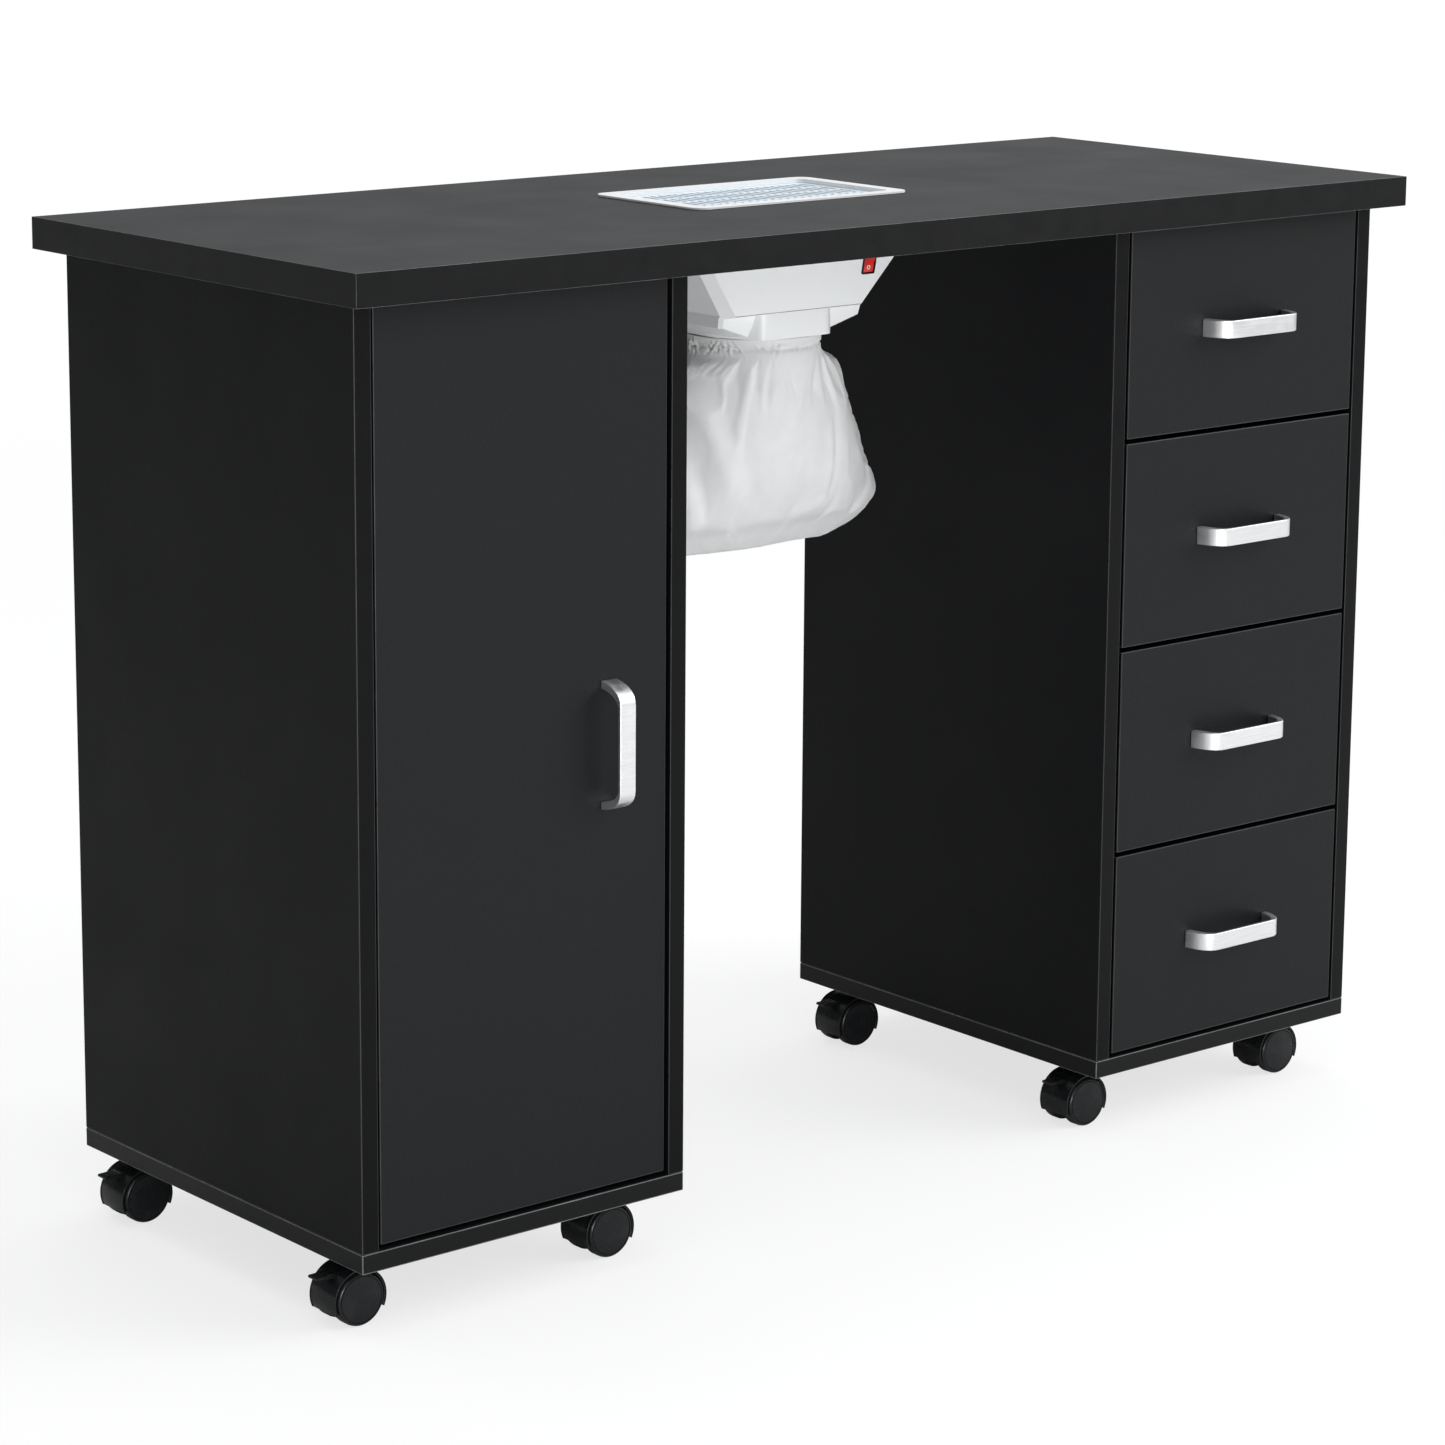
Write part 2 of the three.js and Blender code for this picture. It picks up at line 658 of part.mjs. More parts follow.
// Moves a shape drawn around the origin, with its face towards -Y, onto the front wall.
function ontoFrontWall(geometry) {
  return geometry.rotateX(wallLean).translate(ROCKER.x, frontWallY(ROCKER.z), ROCKER.z);
}

// A cylinder around the extractor's centre line.
function centredRod(radius, bottom, top) {
  return rod(radius, bottom, top, ROUND.fine, DUST.x, DUST.y);
}

// A cylinder along Y through the housing's back wall and the boss on it, and past both by overrun.
function inletRod(radius, overrun) {
  const backWallY = 2 * DUST.y - frontWallY(INLET.z);
  const middle = backWallY + (INLET.reach - SHELL) / 2;
  const half = (INLET.reach + SHELL) / 2 + overrun;
  return axleRod(radius, half, ROUND.small, DUST.x + INLET.x, INLET.z).translate(0, middle, 0);
}

// Drawn from the front to the back along +X, and mirrored for the other side.
function ringOutline() {
  const { front, flat, corner, turn, side } = RING;
  const angle = (turn * Math.PI) / 180;
  const steps = ROUND.small / 2;
  const quarter = Array.from({ length: steps + 1 }, (_, i) => {
    const t = (angle * i) / steps;
    return [flat + corner * Math.sin(t), corner * (1 - Math.cos(t)) - front];
  });
  const [cornerX, cornerY] = quarter.at(-1);
  quarter.push([side, cornerY + (side - cornerX) * Math.tan(angle)]);
  const half = [...quarter, ...quarter.map(([x, y]) => [x, -y]).reverse()];
  return polygon([...half, ...half.map(([x, y]) => [-x, -y])]);
}

function addHousing() {
  const outside = loft(
    housingRings([HOUSING_TOP, HOUSING_SEAM, HOUSING_STEP, HOUSING_RIM, HOUSING_BASE], 0),
  );
  const ring = new THREE.ExtrudeGeometry(ringOutline(), {
    depth: RING.top - RING.bottom,
    bevelEnabled: false,
  }).translate(DUST.x, DUST.y, RING.bottom);
  const outlet = centredRod(OUTLET.radius, OUTLET.bottom, RING.bottom + THROUGH);
  const grip = centredRod(
    OUTLET.radius + OUTLET.grip,
    OUTLET.bottom,
    OUTLET.bottom + OUTLET.gripHeight,
  );
  const chamber = loft(
    housingRings(
      [
        { ...HOUSING_TOP, z: HOUSING_TOP.z + THROUGH },
        { ...HOUSING_SEAM, z: HOUSING_SEAM.z + SHELL },
        { ...HOUSING_STEP, z: HOUSING_STEP.z + SHELL },
        { ...HOUSING_RIM, z: CHAMBER_FLOOR },
      ],
      SHELL,
    ),
  );
  const duct = centredRod(OUTLET.bore, OUTLET.bottom - THROUGH, CHAMBER_FLOOR + THROUGH);
  const switchHole = ontoFrontWall(
    block(
      [-ROCKER_SLOT.width / 2, -ROCKER_SLOT.reach, -ROCKER_SLOT.length / 2],
      [ROCKER_SLOT.width / 2, ROCKER_SLOT.reach, ROCKER_SLOT.length / 2],
    ),
  );
  const inletBoss = inletRod(INLET.radius, 0);
  const inletBore = inletRod(INLET.bore, THROUGH);
  const shell = cut(
    join(outside, ring, outlet, grip, inletBoss),
    chamber,
    duct,
    switchHole,
    inletBore,
  );

  // Arms across the outlet carry the motor's fixed half.
  const { count, width, inset, angle } = MOTOR_ARM;
  const arms = Array.from({ length: count }, (_, i) =>
    block([0, -width / 2, MOTOR.bottom + inset], [OUTLET.bore + inset, width / 2, MOTOR.top - inset])
      .rotateZ((i * 2 * Math.PI) / count + (angle * Math.PI) / 180)
      .translate(DUST.x, DUST.y, 0),
  );
  const boss = centredRod(MOTOR.radius, MOTOR.bottom, MOTOR.top);
  add("dust_housing", join(shell, boss, ...arms), whitePlastic);
}

// The fan and its hub, which is the motor's turning half.
function addFan() {
  const middle = (FAN.top + FAN.bottom) / 2;
  const hub = centredRod(FAN.hub, FAN.bottom, FAN.top);
  const { count, pitch, half, thick, root } = BLADE;
  const blades = Array.from({ length: count }, (_, i) =>
    block([FAN.hub - root, -thick / 2, -half], [FAN.radius, thick / 2, half])
      .rotateX((pitch * Math.PI) / 180)
      .rotateZ((2 * Math.PI * i) / count)
      .translate(DUST.x, DUST.y, middle),
  );
  add("dust_fan", join(hub, ...blades), greyFan);
}

// The rocker key: two faces that meet in a shallow V over a round belly, tipped to "off".
function addRocker() {
  const { proud, belly } = ROCKER;
  const half = ROCKER.length / 2;
  const rest = (ROCKER.rest * Math.PI) / 180;
  const rise = half * Math.tan(rest);
  // Drawn with x outwards from the wall and y up the wall.
  const outline = polygon([
    [proud, 0],
    [proud + rise, half],
    ...ROCKER_BACK.map(([depth, along]) => [-depth * belly, along * half]),
    [proud + rise, -half],
  ]);
  const key = new THREE.ExtrudeGeometry(outline, { depth: ROCKER.width, bevelEnabled: false })
    .translate(0, 0, -ROCKER.width / 2)
    .rotateX(Math.PI / 2)
    .rotateZ(-Math.PI / 2)
    .rotateX(rest);
  add("dust_switch", ontoFrontWall(key), redRocker);
}

// The collecting bag as it hangs: round at its neck, and a flat pillow along X at its foot.
function addBag() {
  add("dust_bag", loft(BAG_RINGS.map(softRing)), nonWoven);
}

addWorktop();
cabinets.forEach(addCarcass);
addShelf(doorCabinet);
addDoor();
addHinge("door_hinge_lower", doorBottom + HINGE_FROM_END);
addHinge("door_hinge_upper", doorTop - HINGE_FROM_END);
for (let number = 1; number <= DRAWERS; number++) addDrawer(number);
cabinets.forEach(addCasters);
addVentFrame();
addGrille();
addHousing();
addFan();
addRocker();
addBag();

export default table;
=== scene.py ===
import json
import math
import random

import bmesh
import bpy
from mathutils import Matrix, Vector, noise


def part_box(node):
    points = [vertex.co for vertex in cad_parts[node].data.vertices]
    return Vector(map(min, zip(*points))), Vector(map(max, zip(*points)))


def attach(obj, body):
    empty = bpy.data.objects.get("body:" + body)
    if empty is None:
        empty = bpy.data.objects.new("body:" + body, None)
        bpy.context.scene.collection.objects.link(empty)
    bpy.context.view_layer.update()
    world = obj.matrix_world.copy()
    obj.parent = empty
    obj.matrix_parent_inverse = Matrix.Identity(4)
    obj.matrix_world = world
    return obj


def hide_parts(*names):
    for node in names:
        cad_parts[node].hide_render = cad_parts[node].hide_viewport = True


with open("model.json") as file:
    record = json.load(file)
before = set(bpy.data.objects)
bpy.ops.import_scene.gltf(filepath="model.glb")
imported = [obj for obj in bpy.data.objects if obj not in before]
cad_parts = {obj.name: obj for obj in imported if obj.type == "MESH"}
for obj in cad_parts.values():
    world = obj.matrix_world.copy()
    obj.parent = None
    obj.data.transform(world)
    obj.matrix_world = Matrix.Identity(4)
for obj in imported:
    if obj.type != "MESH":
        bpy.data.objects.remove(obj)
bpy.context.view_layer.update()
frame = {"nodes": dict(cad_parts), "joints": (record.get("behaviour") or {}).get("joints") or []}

NODES = frame["nodes"]
MM = 0.001

SIDES = ("left", "right")
PLACES = ("front_left", "front_right", "back_left", "back_right")
BRAKED_PLACES = ("front_left", "back_left")
DRAWERS = (1, 2, 3, 4)

# ---- camera, light and floor ----
CAMERA = {"place": (-2.306, -2.7215, 1.1907), "heading": 39.9, "pitch": -11.42, "roll": 0.4}
LENS = 109.4
SENSOR = 36.0
FRAME_RISE = -0.09  # vertical shift, as a share of the frame
FLOOR_RADIUS = 30.0
FLOOR_SIDES = 96
FLOOR_DROP = 0.2 * MM
FLOOR_FADE = (0.6, 5.0)  # the floor fades into the backdrop between these distances
WORLD_LIGHT = {"brightest": (0.75, -0.5, 0.4), "low": 0.07, "high": 0.9}
LIT_POINT = (0.0, 0.0, 0.45)  # the softboxes face this
SOFTBOXES = {  # place, size and power
    "key": ((2.6, -2.6, 2.6), (2.4, 2.4), 72),
    "top": ((0.0, 0.4, 3.2), (3.0, 2.4), 35),
    "fill": ((-1.75, -3.2, 0.4), (1.6, 0.9), 56),
}


def add_camera():
    data = bpy.data.cameras.new("camera")
    data.sensor_width = SENSOR
    data.lens = LENS
    data.shift_y = FRAME_RISE
    camera = bpy.data.objects.new("camera", data)
    bpy.context.scene.collection.objects.link(camera)
    turn = (
        Matrix.Rotation(-math.radians(CAMERA["heading"]), 4, "Z")
        @ Matrix.Rotation(math.radians(90 + CAMERA["pitch"]), 4, "X")
        @ Matrix.Rotation(math.radians(CAMERA["roll"]), 4, "Z")
    )
    camera.matrix_world = Matrix.Translation(CAMERA["place"]) @ turn
    bpy.context.scene.camera = camera


def add_world():
    """Soft studio light from all round, stronger from the front right than from the left."""
    world = bpy.data.worlds.new("studio")
    bpy.context.scene.world = world
    world.use_nodes = True
    nodes, links = world.node_tree.nodes, world.node_tree.links
    nodes.clear()
    direction = nodes.new("ShaderNodeTexCoord").outputs["Generated"]
    towards = nodes.new("ShaderNodeVectorMath")
    towards.operation = "DOT_PRODUCT"
    towards.inputs[1].default_value = Vector(WORLD_LIGHT["brightest"]).normalized()
    links.new(direction, towards.inputs[0])
    ramp = nodes.new("ShaderNodeMapRange")
    ramp.interpolation_type = "SMOOTHSTEP"
    ramp.inputs["From Min"].default_value = -1
    ramp.inputs["To Min"].default_value = WORLD_LIGHT["low"]
    ramp.inputs["To Max"].default_value = WORLD_LIGHT["high"]
    links.new(towards.outputs["Value"], ramp.inputs["Value"])
    lit = nodes.new("ShaderNodeBackground")
    lit.inputs["Color"].default_value = (0.97, 0.985, 1.0, 1.0)
    links.new(ramp.outputs["Result"], lit.inputs["Strength"])
    seen = nodes.new("ShaderNodeBackground")
    seen.inputs["Color"].default_value = (1.0, 1.0, 1.0, 1.0)
    path = nodes.new("ShaderNodeLightPath")
    either = nodes.new("ShaderNodeMixShader")
    links.new(path.outputs["Is Camera Ray"], either.inputs[0])
    links.new(lit.outputs[0], either.inputs[1])
    links.new(seen.outputs[0], either.inputs[2])
    output = nodes.new("ShaderNodeOutputWorld")
    links.new(either.outputs[0], output.inputs["Surface"])


def add_softbox(name, place, size, power):
    data = bpy.data.lights.new(name, "AREA")
    data.shape = "RECTANGLE"
    data.size, data.size_y = size
    data.energy = power
    light = bpy.data.objects.new(name, data)
    bpy.context.scene.collection.objects.link(light)
    light.location = place
    towards = Vector(LIT_POINT) - Vector(place)
    light.rotation_euler = towards.to_track_quat("-Z", "Y").to_euler()
    return light


def add_floor():
    mesh = bpy.data.meshes.new("floor")
    edge = [
        (FLOOR_RADIUS * math.cos(a), FLOOR_RADIUS * math.sin(a), -FLOOR_DROP)
        for a in (2 * math.pi * i / FLOOR_SIDES for i in range(FLOOR_SIDES))
    ]
    mesh.from_pydata(edge, [], [range(FLOOR_SIDES)])
    floor = bpy.data.objects.new("floor", mesh)
    bpy.context.scene.collection.objects.link(floor)
    # Paper-white sweep. To the camera it glows, so that it fades into the backdrop; other rays
    # meet plain pale paper.
    look = Look("pale_floor", roughness=0.9, specular=0.1)
    radius = look.add("ShaderNodeVectorMath", {0: look.place}, operation="LENGTH").outputs["Value"]
    by_camera = look.add("ShaderNodeLightPath").outputs["Is Camera Ray"]
    near = look.between(radius, *FLOOR_FADE, 1.0, 0.0)
    paper = look.mix(near, (0.0, 0.0, 0.0), (0.30, 0.30, 0.30))
    look.colour(look.mix(by_camera, (0.8, 0.8, 0.8), paper))
    look.shader.inputs["Emission Color"].default_value = (1, 1, 1, 1)
    glow = look.math("SUBTRACT", 1.0, look.math("MULTIPLY", near, 0.28))
    look.feed(look.shader.inputs["Emission Strength"], look.math("MULTIPLY", glow, by_camera))
    mesh.materials.append(look.material)


# ---- materials ----
class Look:
    """A material with one Principled shader, and short ways to feed it."""

    def __init__(self, name, colour=(0.5, 0.5, 0.5), roughness=0.5, metallic=0.0, specular=0.5):
        self.material = bpy.data.materials.new(name)
        self.material.use_nodes = True
        self.tree = self.material.node_tree
        self.shader = self.tree.nodes["Principled BSDF"]
        self.shader.inputs["Base Color"].default_value = (*colour, 1.0)
        self.shader.inputs["Roughness"].default_value = roughness
        self.shader.inputs["Metallic"].default_value = metallic
        self.shader.inputs["Specular IOR Level"].default_value = specular
        places = self.add("ShaderNodeTexCoord")
        self.place = places.outputs["Object"]
        self.facing = places.outputs["Normal"]
        self.cloth_place = places.outputs["UV"]
        self.last_bump = None

    def add(self, kind, inputs=None, **settings):
        made = self.tree.nodes.new(kind)
        for key, value in settings.items():
            setattr(made, key, value)
        for key, value in (inputs or {}).items():
            self.feed(made.inputs[key], value)
        return made

    def feed(self, socket, value):
        if isinstance(value, bpy.types.NodeSocket):
            self.tree.links.new(value, socket)
        elif socket.type == "RGBA" and len(value) == 3:
            socket.default_value = (*value, 1.0)
        else:
            socket.default_value = value

    def scaled(self, scale, place=None):
        """The place, stretched by a factor along each axis."""
        inputs = {0: place or self.place, 1: scale}
        return self.add("ShaderNodeVectorMath", inputs, operation="MULTIPLY").outputs[0]

    def clouds(self, per_metre, detail=2.0, place=None):
        inputs = {"Vector": place or self.place, "Scale": per_metre, "Detail": detail}
        return self.add("ShaderNodeTexNoise", inputs).outputs["Fac"]

    def cells(self, per_metre, place=None, kind="F1"):
        inputs = {"Vector": place or self.place, "Scale": per_metre}
        return self.add("ShaderNodeTexVoronoi", inputs, feature=kind).outputs["Distance"]

    def between(self, value, low, high, at_low=0.0, at_high=1.0):
        inputs = {
            "Value": value,
            "From Min": low,
            "From Max": high,
            "To Min": at_low,
            "To Max": at_high,
        }
        return self.add("ShaderNodeMapRange", inputs).outputs["Result"]

    def math(self, operation, first, second=0.0):
        return self.add("ShaderNodeMath", {0: first, 1: second}, operation=operation).outputs[0]

    def mix(self, share, first, second):
        """One colour at a share of 0, and the other at 1."""
        node = self.add("ShaderNodeMix", data_type="RGBA")
        colour_sockets = {s.name: s for s in node.inputs if s.type == "RGBA"}
        self.feed(node.inputs[0], share)
        self.feed(colour_sockets["A"], first)
        self.feed(colour_sockets["B"], second)
        return next(s for s in node.outputs if s.type == "RGBA")

    def colour(self, value):
        self.feed(self.shader.inputs["Base Color"], value)

    def roughness(self, value):
        self.feed(self.shader.inputs["Roughness"], value)

    def cloudy(self, per_metre, low, high, detail=2.0):
        """Clouds that run between two values."""
        return self.between(self.clouds(per_metre, detail), 0.3, 0.7, low, high)

    def relief(self, height, depth, strength=1.0):
        """Adds a layer of bumps as deep as depth, in metres."""
        inputs = {"Height": height, "Distance": depth, "Strength": strength}
        if self.last_bump:
            inputs["Normal"] = self.last_bump
        self.last_bump = self.add("ShaderNodeBump", inputs).outputs["Normal"]
        self.feed(self.shader.inputs["Normal"], self.last_bump)

    def set(self, **values):
        """Sets shader sockets that are the same all over, by name with _ for spaces."""
        for key, value in values.items():
            self.shader.inputs[key.replace("_", " ")].default_value = value
        return self


def shade(colour, factor):
    """The colour, darker or lighter by a factor."""
    return tuple(factor * c for c in colour)


def melamine(axis_name, specular, dark=(0.0052, 0.0058, 0.0066), light=(0.0088, 0.0092, 0.0100)):
    """Black melamine board with a pebbled face. Its edges, which face across axis_name, carry a
    smoother plastic band."""
    look = Look(f"melamine_{axis_name}", specular=specular)
    axis = "XYZ".index(axis_name)
    normal = look.add("ShaderNodeSeparateXYZ", {0: look.facing}).outputs[axis]
    on_face = look.between(look.math("ABSOLUTE", normal), 0.6, 0.8)
    drift = look.clouds(4.5, detail=3.0)
    speckle = look.clouds(520, detail=1.0)
    drift_tone = look.between(drift, 0.3, 0.7, 0.0, 0.2)
    tone = look.math("ADD", drift_tone, look.between(speckle, 0.4, 0.75, 0, 0.5))
    board = look.mix(tone, dark, light)
    band = look.mix(tone, shade(dark, 0.45), shade(light, 0.45))
    look.colour(look.mix(on_face, band, board))
    face_roughness = look.cloudy(11, 0.46, 0.52, 4.0)
    band_roughness = look.cloudy(60, 0.30, 0.40)
    look.roughness(
        look.add("ShaderNodeMix", {0: on_face, 2: band_roughness, 3: face_roughness}).outputs[0]
    )
    look.relief(look.cells(560, kind="SMOOTH_F1"), 0.10 * MM, look.between(on_face, 0, 1, 0.1, 0.75))
    look.relief(look.clouds(1500, detail=1.0), 0.03 * MM, 0.5)
    return look.material


def painted_highlight_edge(name, colour, roughness):
    """The rounded, slightly polished arris of a board, in a lighter grey than the board: a painted highlight
    along the edge.
    """
    look = Look(name, colour, roughness)
    rub = look.between(look.clouds(26, detail=3.0), 0.35, 0.7)
    look.colour(look.mix(rub, shade(colour, 0.6), colour))
    look.roughness(look.cloudy(90, roughness - 0.08, roughness + 0.1))
    look.relief(look.clouds(900), 0.02 * MM, 0.4)
    return look.material


def inside_board():
    """Dark laminated board with a fine linen press, for the shelf and the drawer trays."""
    look = Look("inside_board", roughness=0.6, specular=0.3)
    threads = look.math(
        "MULTIPLY",
        look.clouds(1.0, place=look.scaled((900, 900, 90))),
        look.clouds(1.0, place=look.scaled((90, 900, 900))),
    )
    look.colour(look.mix(look.between(threads, 0.12, 0.4), (0.016, 0.017, 0.019), (0.034, 0.035, 0.038)))
    look.roughness(look.cloudy(9, 0.52, 0.66, 4.0))
    look.relief(threads, 0.08 * MM, 0.6)
    return look.material


def satin_silver():
    """Satin anodised metal, finely brushed along the length of the strap."""
    look = Look("satin_silver", (0.86, 0.865, 0.87), 0.34, metallic=1.0)
    brushed = look.clouds(1.0, detail=4.0, place=look.scaled((45, 1600, 1600)))
    look.colour(look.mix(look.between(brushed, 0.3, 0.7), (0.80, 0.805, 0.81), (0.93, 0.933, 0.936)))
    look.roughness(look.cloudy(70, 0.30, 0.42, 3.0))
    look.relief(brushed, 0.015 * MM, 0.5)
    return look.set(Anisotropic=0.35).material


def zinc_steel():
    """Bright zinc plate with a faint spangle."""
    look = Look("zinc_steel", (0.62, 0.63, 0.65), 0.3, metallic=1.0)
    spangle = look.cells(240)
    look.colour(look.mix(look.between(spangle, 0.1, 0.8), (0.50, 0.51, 0.53), (0.74, 0.75, 0.77)))
    look.roughness(look.cloudy(55, 0.24, 0.44, 4.0))
    look.relief(look.clouds(700), 0.02 * MM, 0.4)
    return look.material


def black_nylon(name="black_nylon", colour=(0.007, 0.0074, 0.0082)):
    """Moulded glass-filled nylon: fine spark texture, greyer where it is scuffed."""
    look = Look(name, specular=0.3)
    scuff = look.between(look.clouds(95, detail=5.0), 0.5, 0.75)
    look.colour(look.mix(scuff, colour, shade(colour, 1.9)))
    look.roughness(look.cloudy(140, 0.20, 0.32, 3.0))
    look.relief(look.clouds(1700, detail=2.0), 0.03 * MM, 0.4)
    return look.material


def white_plastic(name="white_plastic", colour=(0.83, 0.84, 0.85)):
    """Injection-moulded white plastic with a soft gloss and faint flow clouds."""
    look = Look(name, roughness=0.38)
    flow = look.clouds(7, detail=3.0)
    look.colour(look.mix(look.between(flow, 0.3, 0.7), shade(colour, 0.965), colour))
    look.roughness(look.cloudy(24, 0.32, 0.44, 4.0))
    look.relief(look.clouds(1100, detail=2.0), 0.02 * MM, 0.45)
    look.relief(flow, 0.5 * MM, 0.25)
    return look.set(Subsurface_Weight=0.05, Subsurface_Scale=2 * MM).material


def rocker_red():
    look = Look("rocker_red", (0.66, 0.018, 0.014), 0.2)
    depth = look.between(look.clouds(180, detail=2.0), 0.3, 0.7)
    look.colour(look.mix(depth, (0.55, 0.012, 0.010), (0.74, 0.026, 0.018)))
    look.roughness(look.cloudy(420, 0.16, 0.27))
    look.relief(look.clouds(900), 0.01 * MM, 0.4)
    return look.set(Coat_Weight=0.4, Coat_Roughness=0.1).material


def ink_white():
    look = Look("ink_white", (0.9, 0.9, 0.88), 0.5)
    worn = look.between(look.clouds(900, detail=3.0), 0.35, 0.6)
    look.colour(look.mix(worn, (0.82, 0.80, 0.78), (0.94, 0.94, 0.93)))
    return look.material


NON_WOVEN_PITCH = 1.1 * MM  # between two welded points


def non_woven():
    """Spun-bonded fabric: a lattice of welded points in a mat of fibres, a little translucent."""
    look = Look("non_woven", roughness=0.85, specular=0.2)
    lattice_scale = (1 / NON_WOVEN_PITCH, 1 / NON_WOVEN_PITCH, 0)
    diagonal = look.add(
        "ShaderNodeVectorRotate",
        {"Vector": look.cloth_place, "Angle": math.radians(45)},
        rotation_type="Z_AXIS",
    ).outputs[0]
    lattice = {0: look.scaled(lattice_scale, diagonal)}
    cell = look.add("ShaderNodeVectorMath", lattice, operation="FRACTION").outputs[0]
    middle = look.add("ShaderNodeVectorMath", {0: cell, 1: (0.5, 0.5, 0)}, operation="DISTANCE")
    points = look.between(middle.outputs["Value"], 0.18, 0.36)
    fibres = look.clouds(1.0, detail=3.0, place=look.scaled((2600, 900, 1), look.cloth_place))
    mat = look.clouds(55, detail=5.0)
    mat_tone = look.between(mat, 0.3, 0.7, 0.90, 1.0)
    tone = look.math("MULTIPLY", mat_tone, look.between(fibres, 0.3, 0.7, 0.95, 1.0))
    spotted = look.math("MULTIPLY", tone, look.between(points, 0, 1, 0.98, 1.0))
    look.colour(look.mix(spotted, (0.30, 0.31, 0.33), (0.755, 0.757, 0.76)))
    look.roughness(look.between(points, 0, 1, 0.62, 0.9))
    look.relief(points, 0.08 * MM, 0.25)
    look.relief(fibres, 0.05 * MM, 0.4)
    look.relief(mat, 0.5 * MM, 0.35)
    return look.set(
        Sheen_Weight=0.25,
        Sheen_Roughness=0.5,
        Subsurface_Weight=0.12,
        Subsurface_Radius=(1, 1, 1),
        Subsurface_Scale=3 * MM,
    ).material


def thread():
    look = Look("thread", (0.86, 0.86, 0.84), 0.7, specular=0.2)
    twist = look.clouds(1.0, place=look.scaled((3500, 3500, 3500)))
    look.colour(look.mix(twist, (0.70, 0.70, 0.69), (0.90, 0.90, 0.89)))
    look.relief(twist, 0.05 * MM, 0.6)
    return look.material


MATERIALS = {
    # The side panels, which face across X, take a darker copy of the black melamine: painted shade on the
    # faces turned from the light.
    "board_x_painted_shade": melamine("X", 0.13, dark=(0.0028, 0.0032, 0.0038), light=(0.0050, 0.0054, 0.0062)),
    "board_y": melamine("Y", 0.2),
    "board_z": melamine("Z", 0.2),
    # Lighter greys for the boards' rounded edges: painted highlights along the edges, strongest on the
    # worktop and the cabinet bottoms.
    "top_edge_painted_highlight": painted_highlight_edge("top_edge_painted_highlight", (0.34, 0.35, 0.36), 0.3),
    "bright_edge_painted_highlight": painted_highlight_edge("bright_edge_painted_highlight", (0.16, 0.165, 0.17), 0.3),
    "soft_edge_painted_highlight": painted_highlight_edge("soft_edge_painted_highlight", (0.035, 0.036, 0.038), 0.34),
    "inside": inside_board(),
    "silver": satin_silver(),
    "zinc": zinc_steel(),
    "nylon": black_nylon(),
    "bezel": black_nylon("bezel_black", (0.008, 0.008, 0.009)),
    "fan": black_nylon("fan_grey", (0.022, 0.023, 0.026)),
    "white": white_plastic(),
    # The housing's seam line: a grey tube standing for the gap between its two halves, a painted shadow.
    "seam": black_nylon("seam_shadow", (0.16, 0.165, 0.17)),
    "grille": white_plastic("grille_blue", (0.74, 0.83, 0.90)),
    "red": rocker_red(),
    "ink": ink_white(),
    "fabric": non_woven(),
    "thread": thread(),
}


# ---- finishing CAD nodes ----
def smooth_group(degrees):
    """Geometry nodes that shade a mesh smooth, apart from edges sharper than the angle."""
    group = bpy.data.node_groups.new("smooth_shading", "GeometryNodeTree")
    group.interface.new_socket("Geometry", in_out="INPUT", socket_type="NodeSocketGeometry")
    group.interface.new_socket("Geometry", in_out="OUTPUT", socket_type="NodeSocketGeometry")
    start = group.nodes.new("NodeGroupInput")
    end = group.nodes.new("NodeGroupOutput")
    bare = group.nodes.new("GeometryNodeRemoveAttribute")
    bare.inputs["Name"].default_value = "custom_normal"
    faces = group.nodes.new("GeometryNodeSetShadeSmooth")
    edges = group.nodes.new("GeometryNodeSetShadeSmooth")
    edges.domain = "EDGE"
    edges.inputs["Shade Smooth"].default_value = False
    angle = group.nodes.new("GeometryNodeInputMeshEdgeAngle")
    sharp = group.nodes.new("FunctionNodeCompare")
    sharp.operation = "GREATER_THAN"
    sharp.inputs[1].default_value = math.radians(degrees)
    for output, socket in (
        (start.outputs[0], bare.inputs["Geometry"]),
        (bare.outputs[0], faces.inputs["Geometry"]),
        (faces.outputs[0], edges.inputs["Geometry"]),
        (angle.outputs["Unsigned Angle"], sharp.inputs[0]),
        (sharp.outputs[0], edges.inputs["Selection"]),
        (edges.outputs[0], end.inputs[0]),
    ):
        group.links.new(output, socket)
    return group


SHARP_EDGE = 32  # edges that turn further than this many degrees stay sharp
BEVELLED_EDGE = 38  # and those that turn further than this are rounded
SMOOTH = smooth_group(SHARP_EDGE)


def finish_node(name, look, bevel=0.0, edge=None, segments=2, sharper_than=BEVELLED_EDGE):
    """Gives a CAD node its material, and rounds and smooths it by modifiers."""
    node = NODES[name]
    node.data.materials[0] = MATERIALS[look]
    if edge:
        node.data.materials.append(MATERIALS[edge])
    weld = node.modifiers.new("weld", "WELD")
    weld.merge_threshold = 0.01 * MM
    flat = node.modifiers.new("flat_faces", "DECIMATE")
    flat.decimate_type = "DISSOLVE"
    flat.angle_limit = math.radians(0.5)
    if bevel:
        rounding = node.modifiers.new("rounding", "BEVEL")
        rounding.width = bevel
        rounding.segments = segments
        rounding.limit_method = "ANGLE"
        rounding.angle_limit = math.radians(sharper_than)
        # The rounded edges take the edge material, a lighter grey than the face: a painted highlight.
        if edge:
            rounding.material = 1
    shading = node.modifiers.new("shading", "NODES")
    shading.node_group = SMOOTH
    # Keeps large flat faces flat right up to their rounded edges.
    even = node.modifiers.new("even_faces", "WEIGHTED_NORMAL")
    even.keep_sharp = True


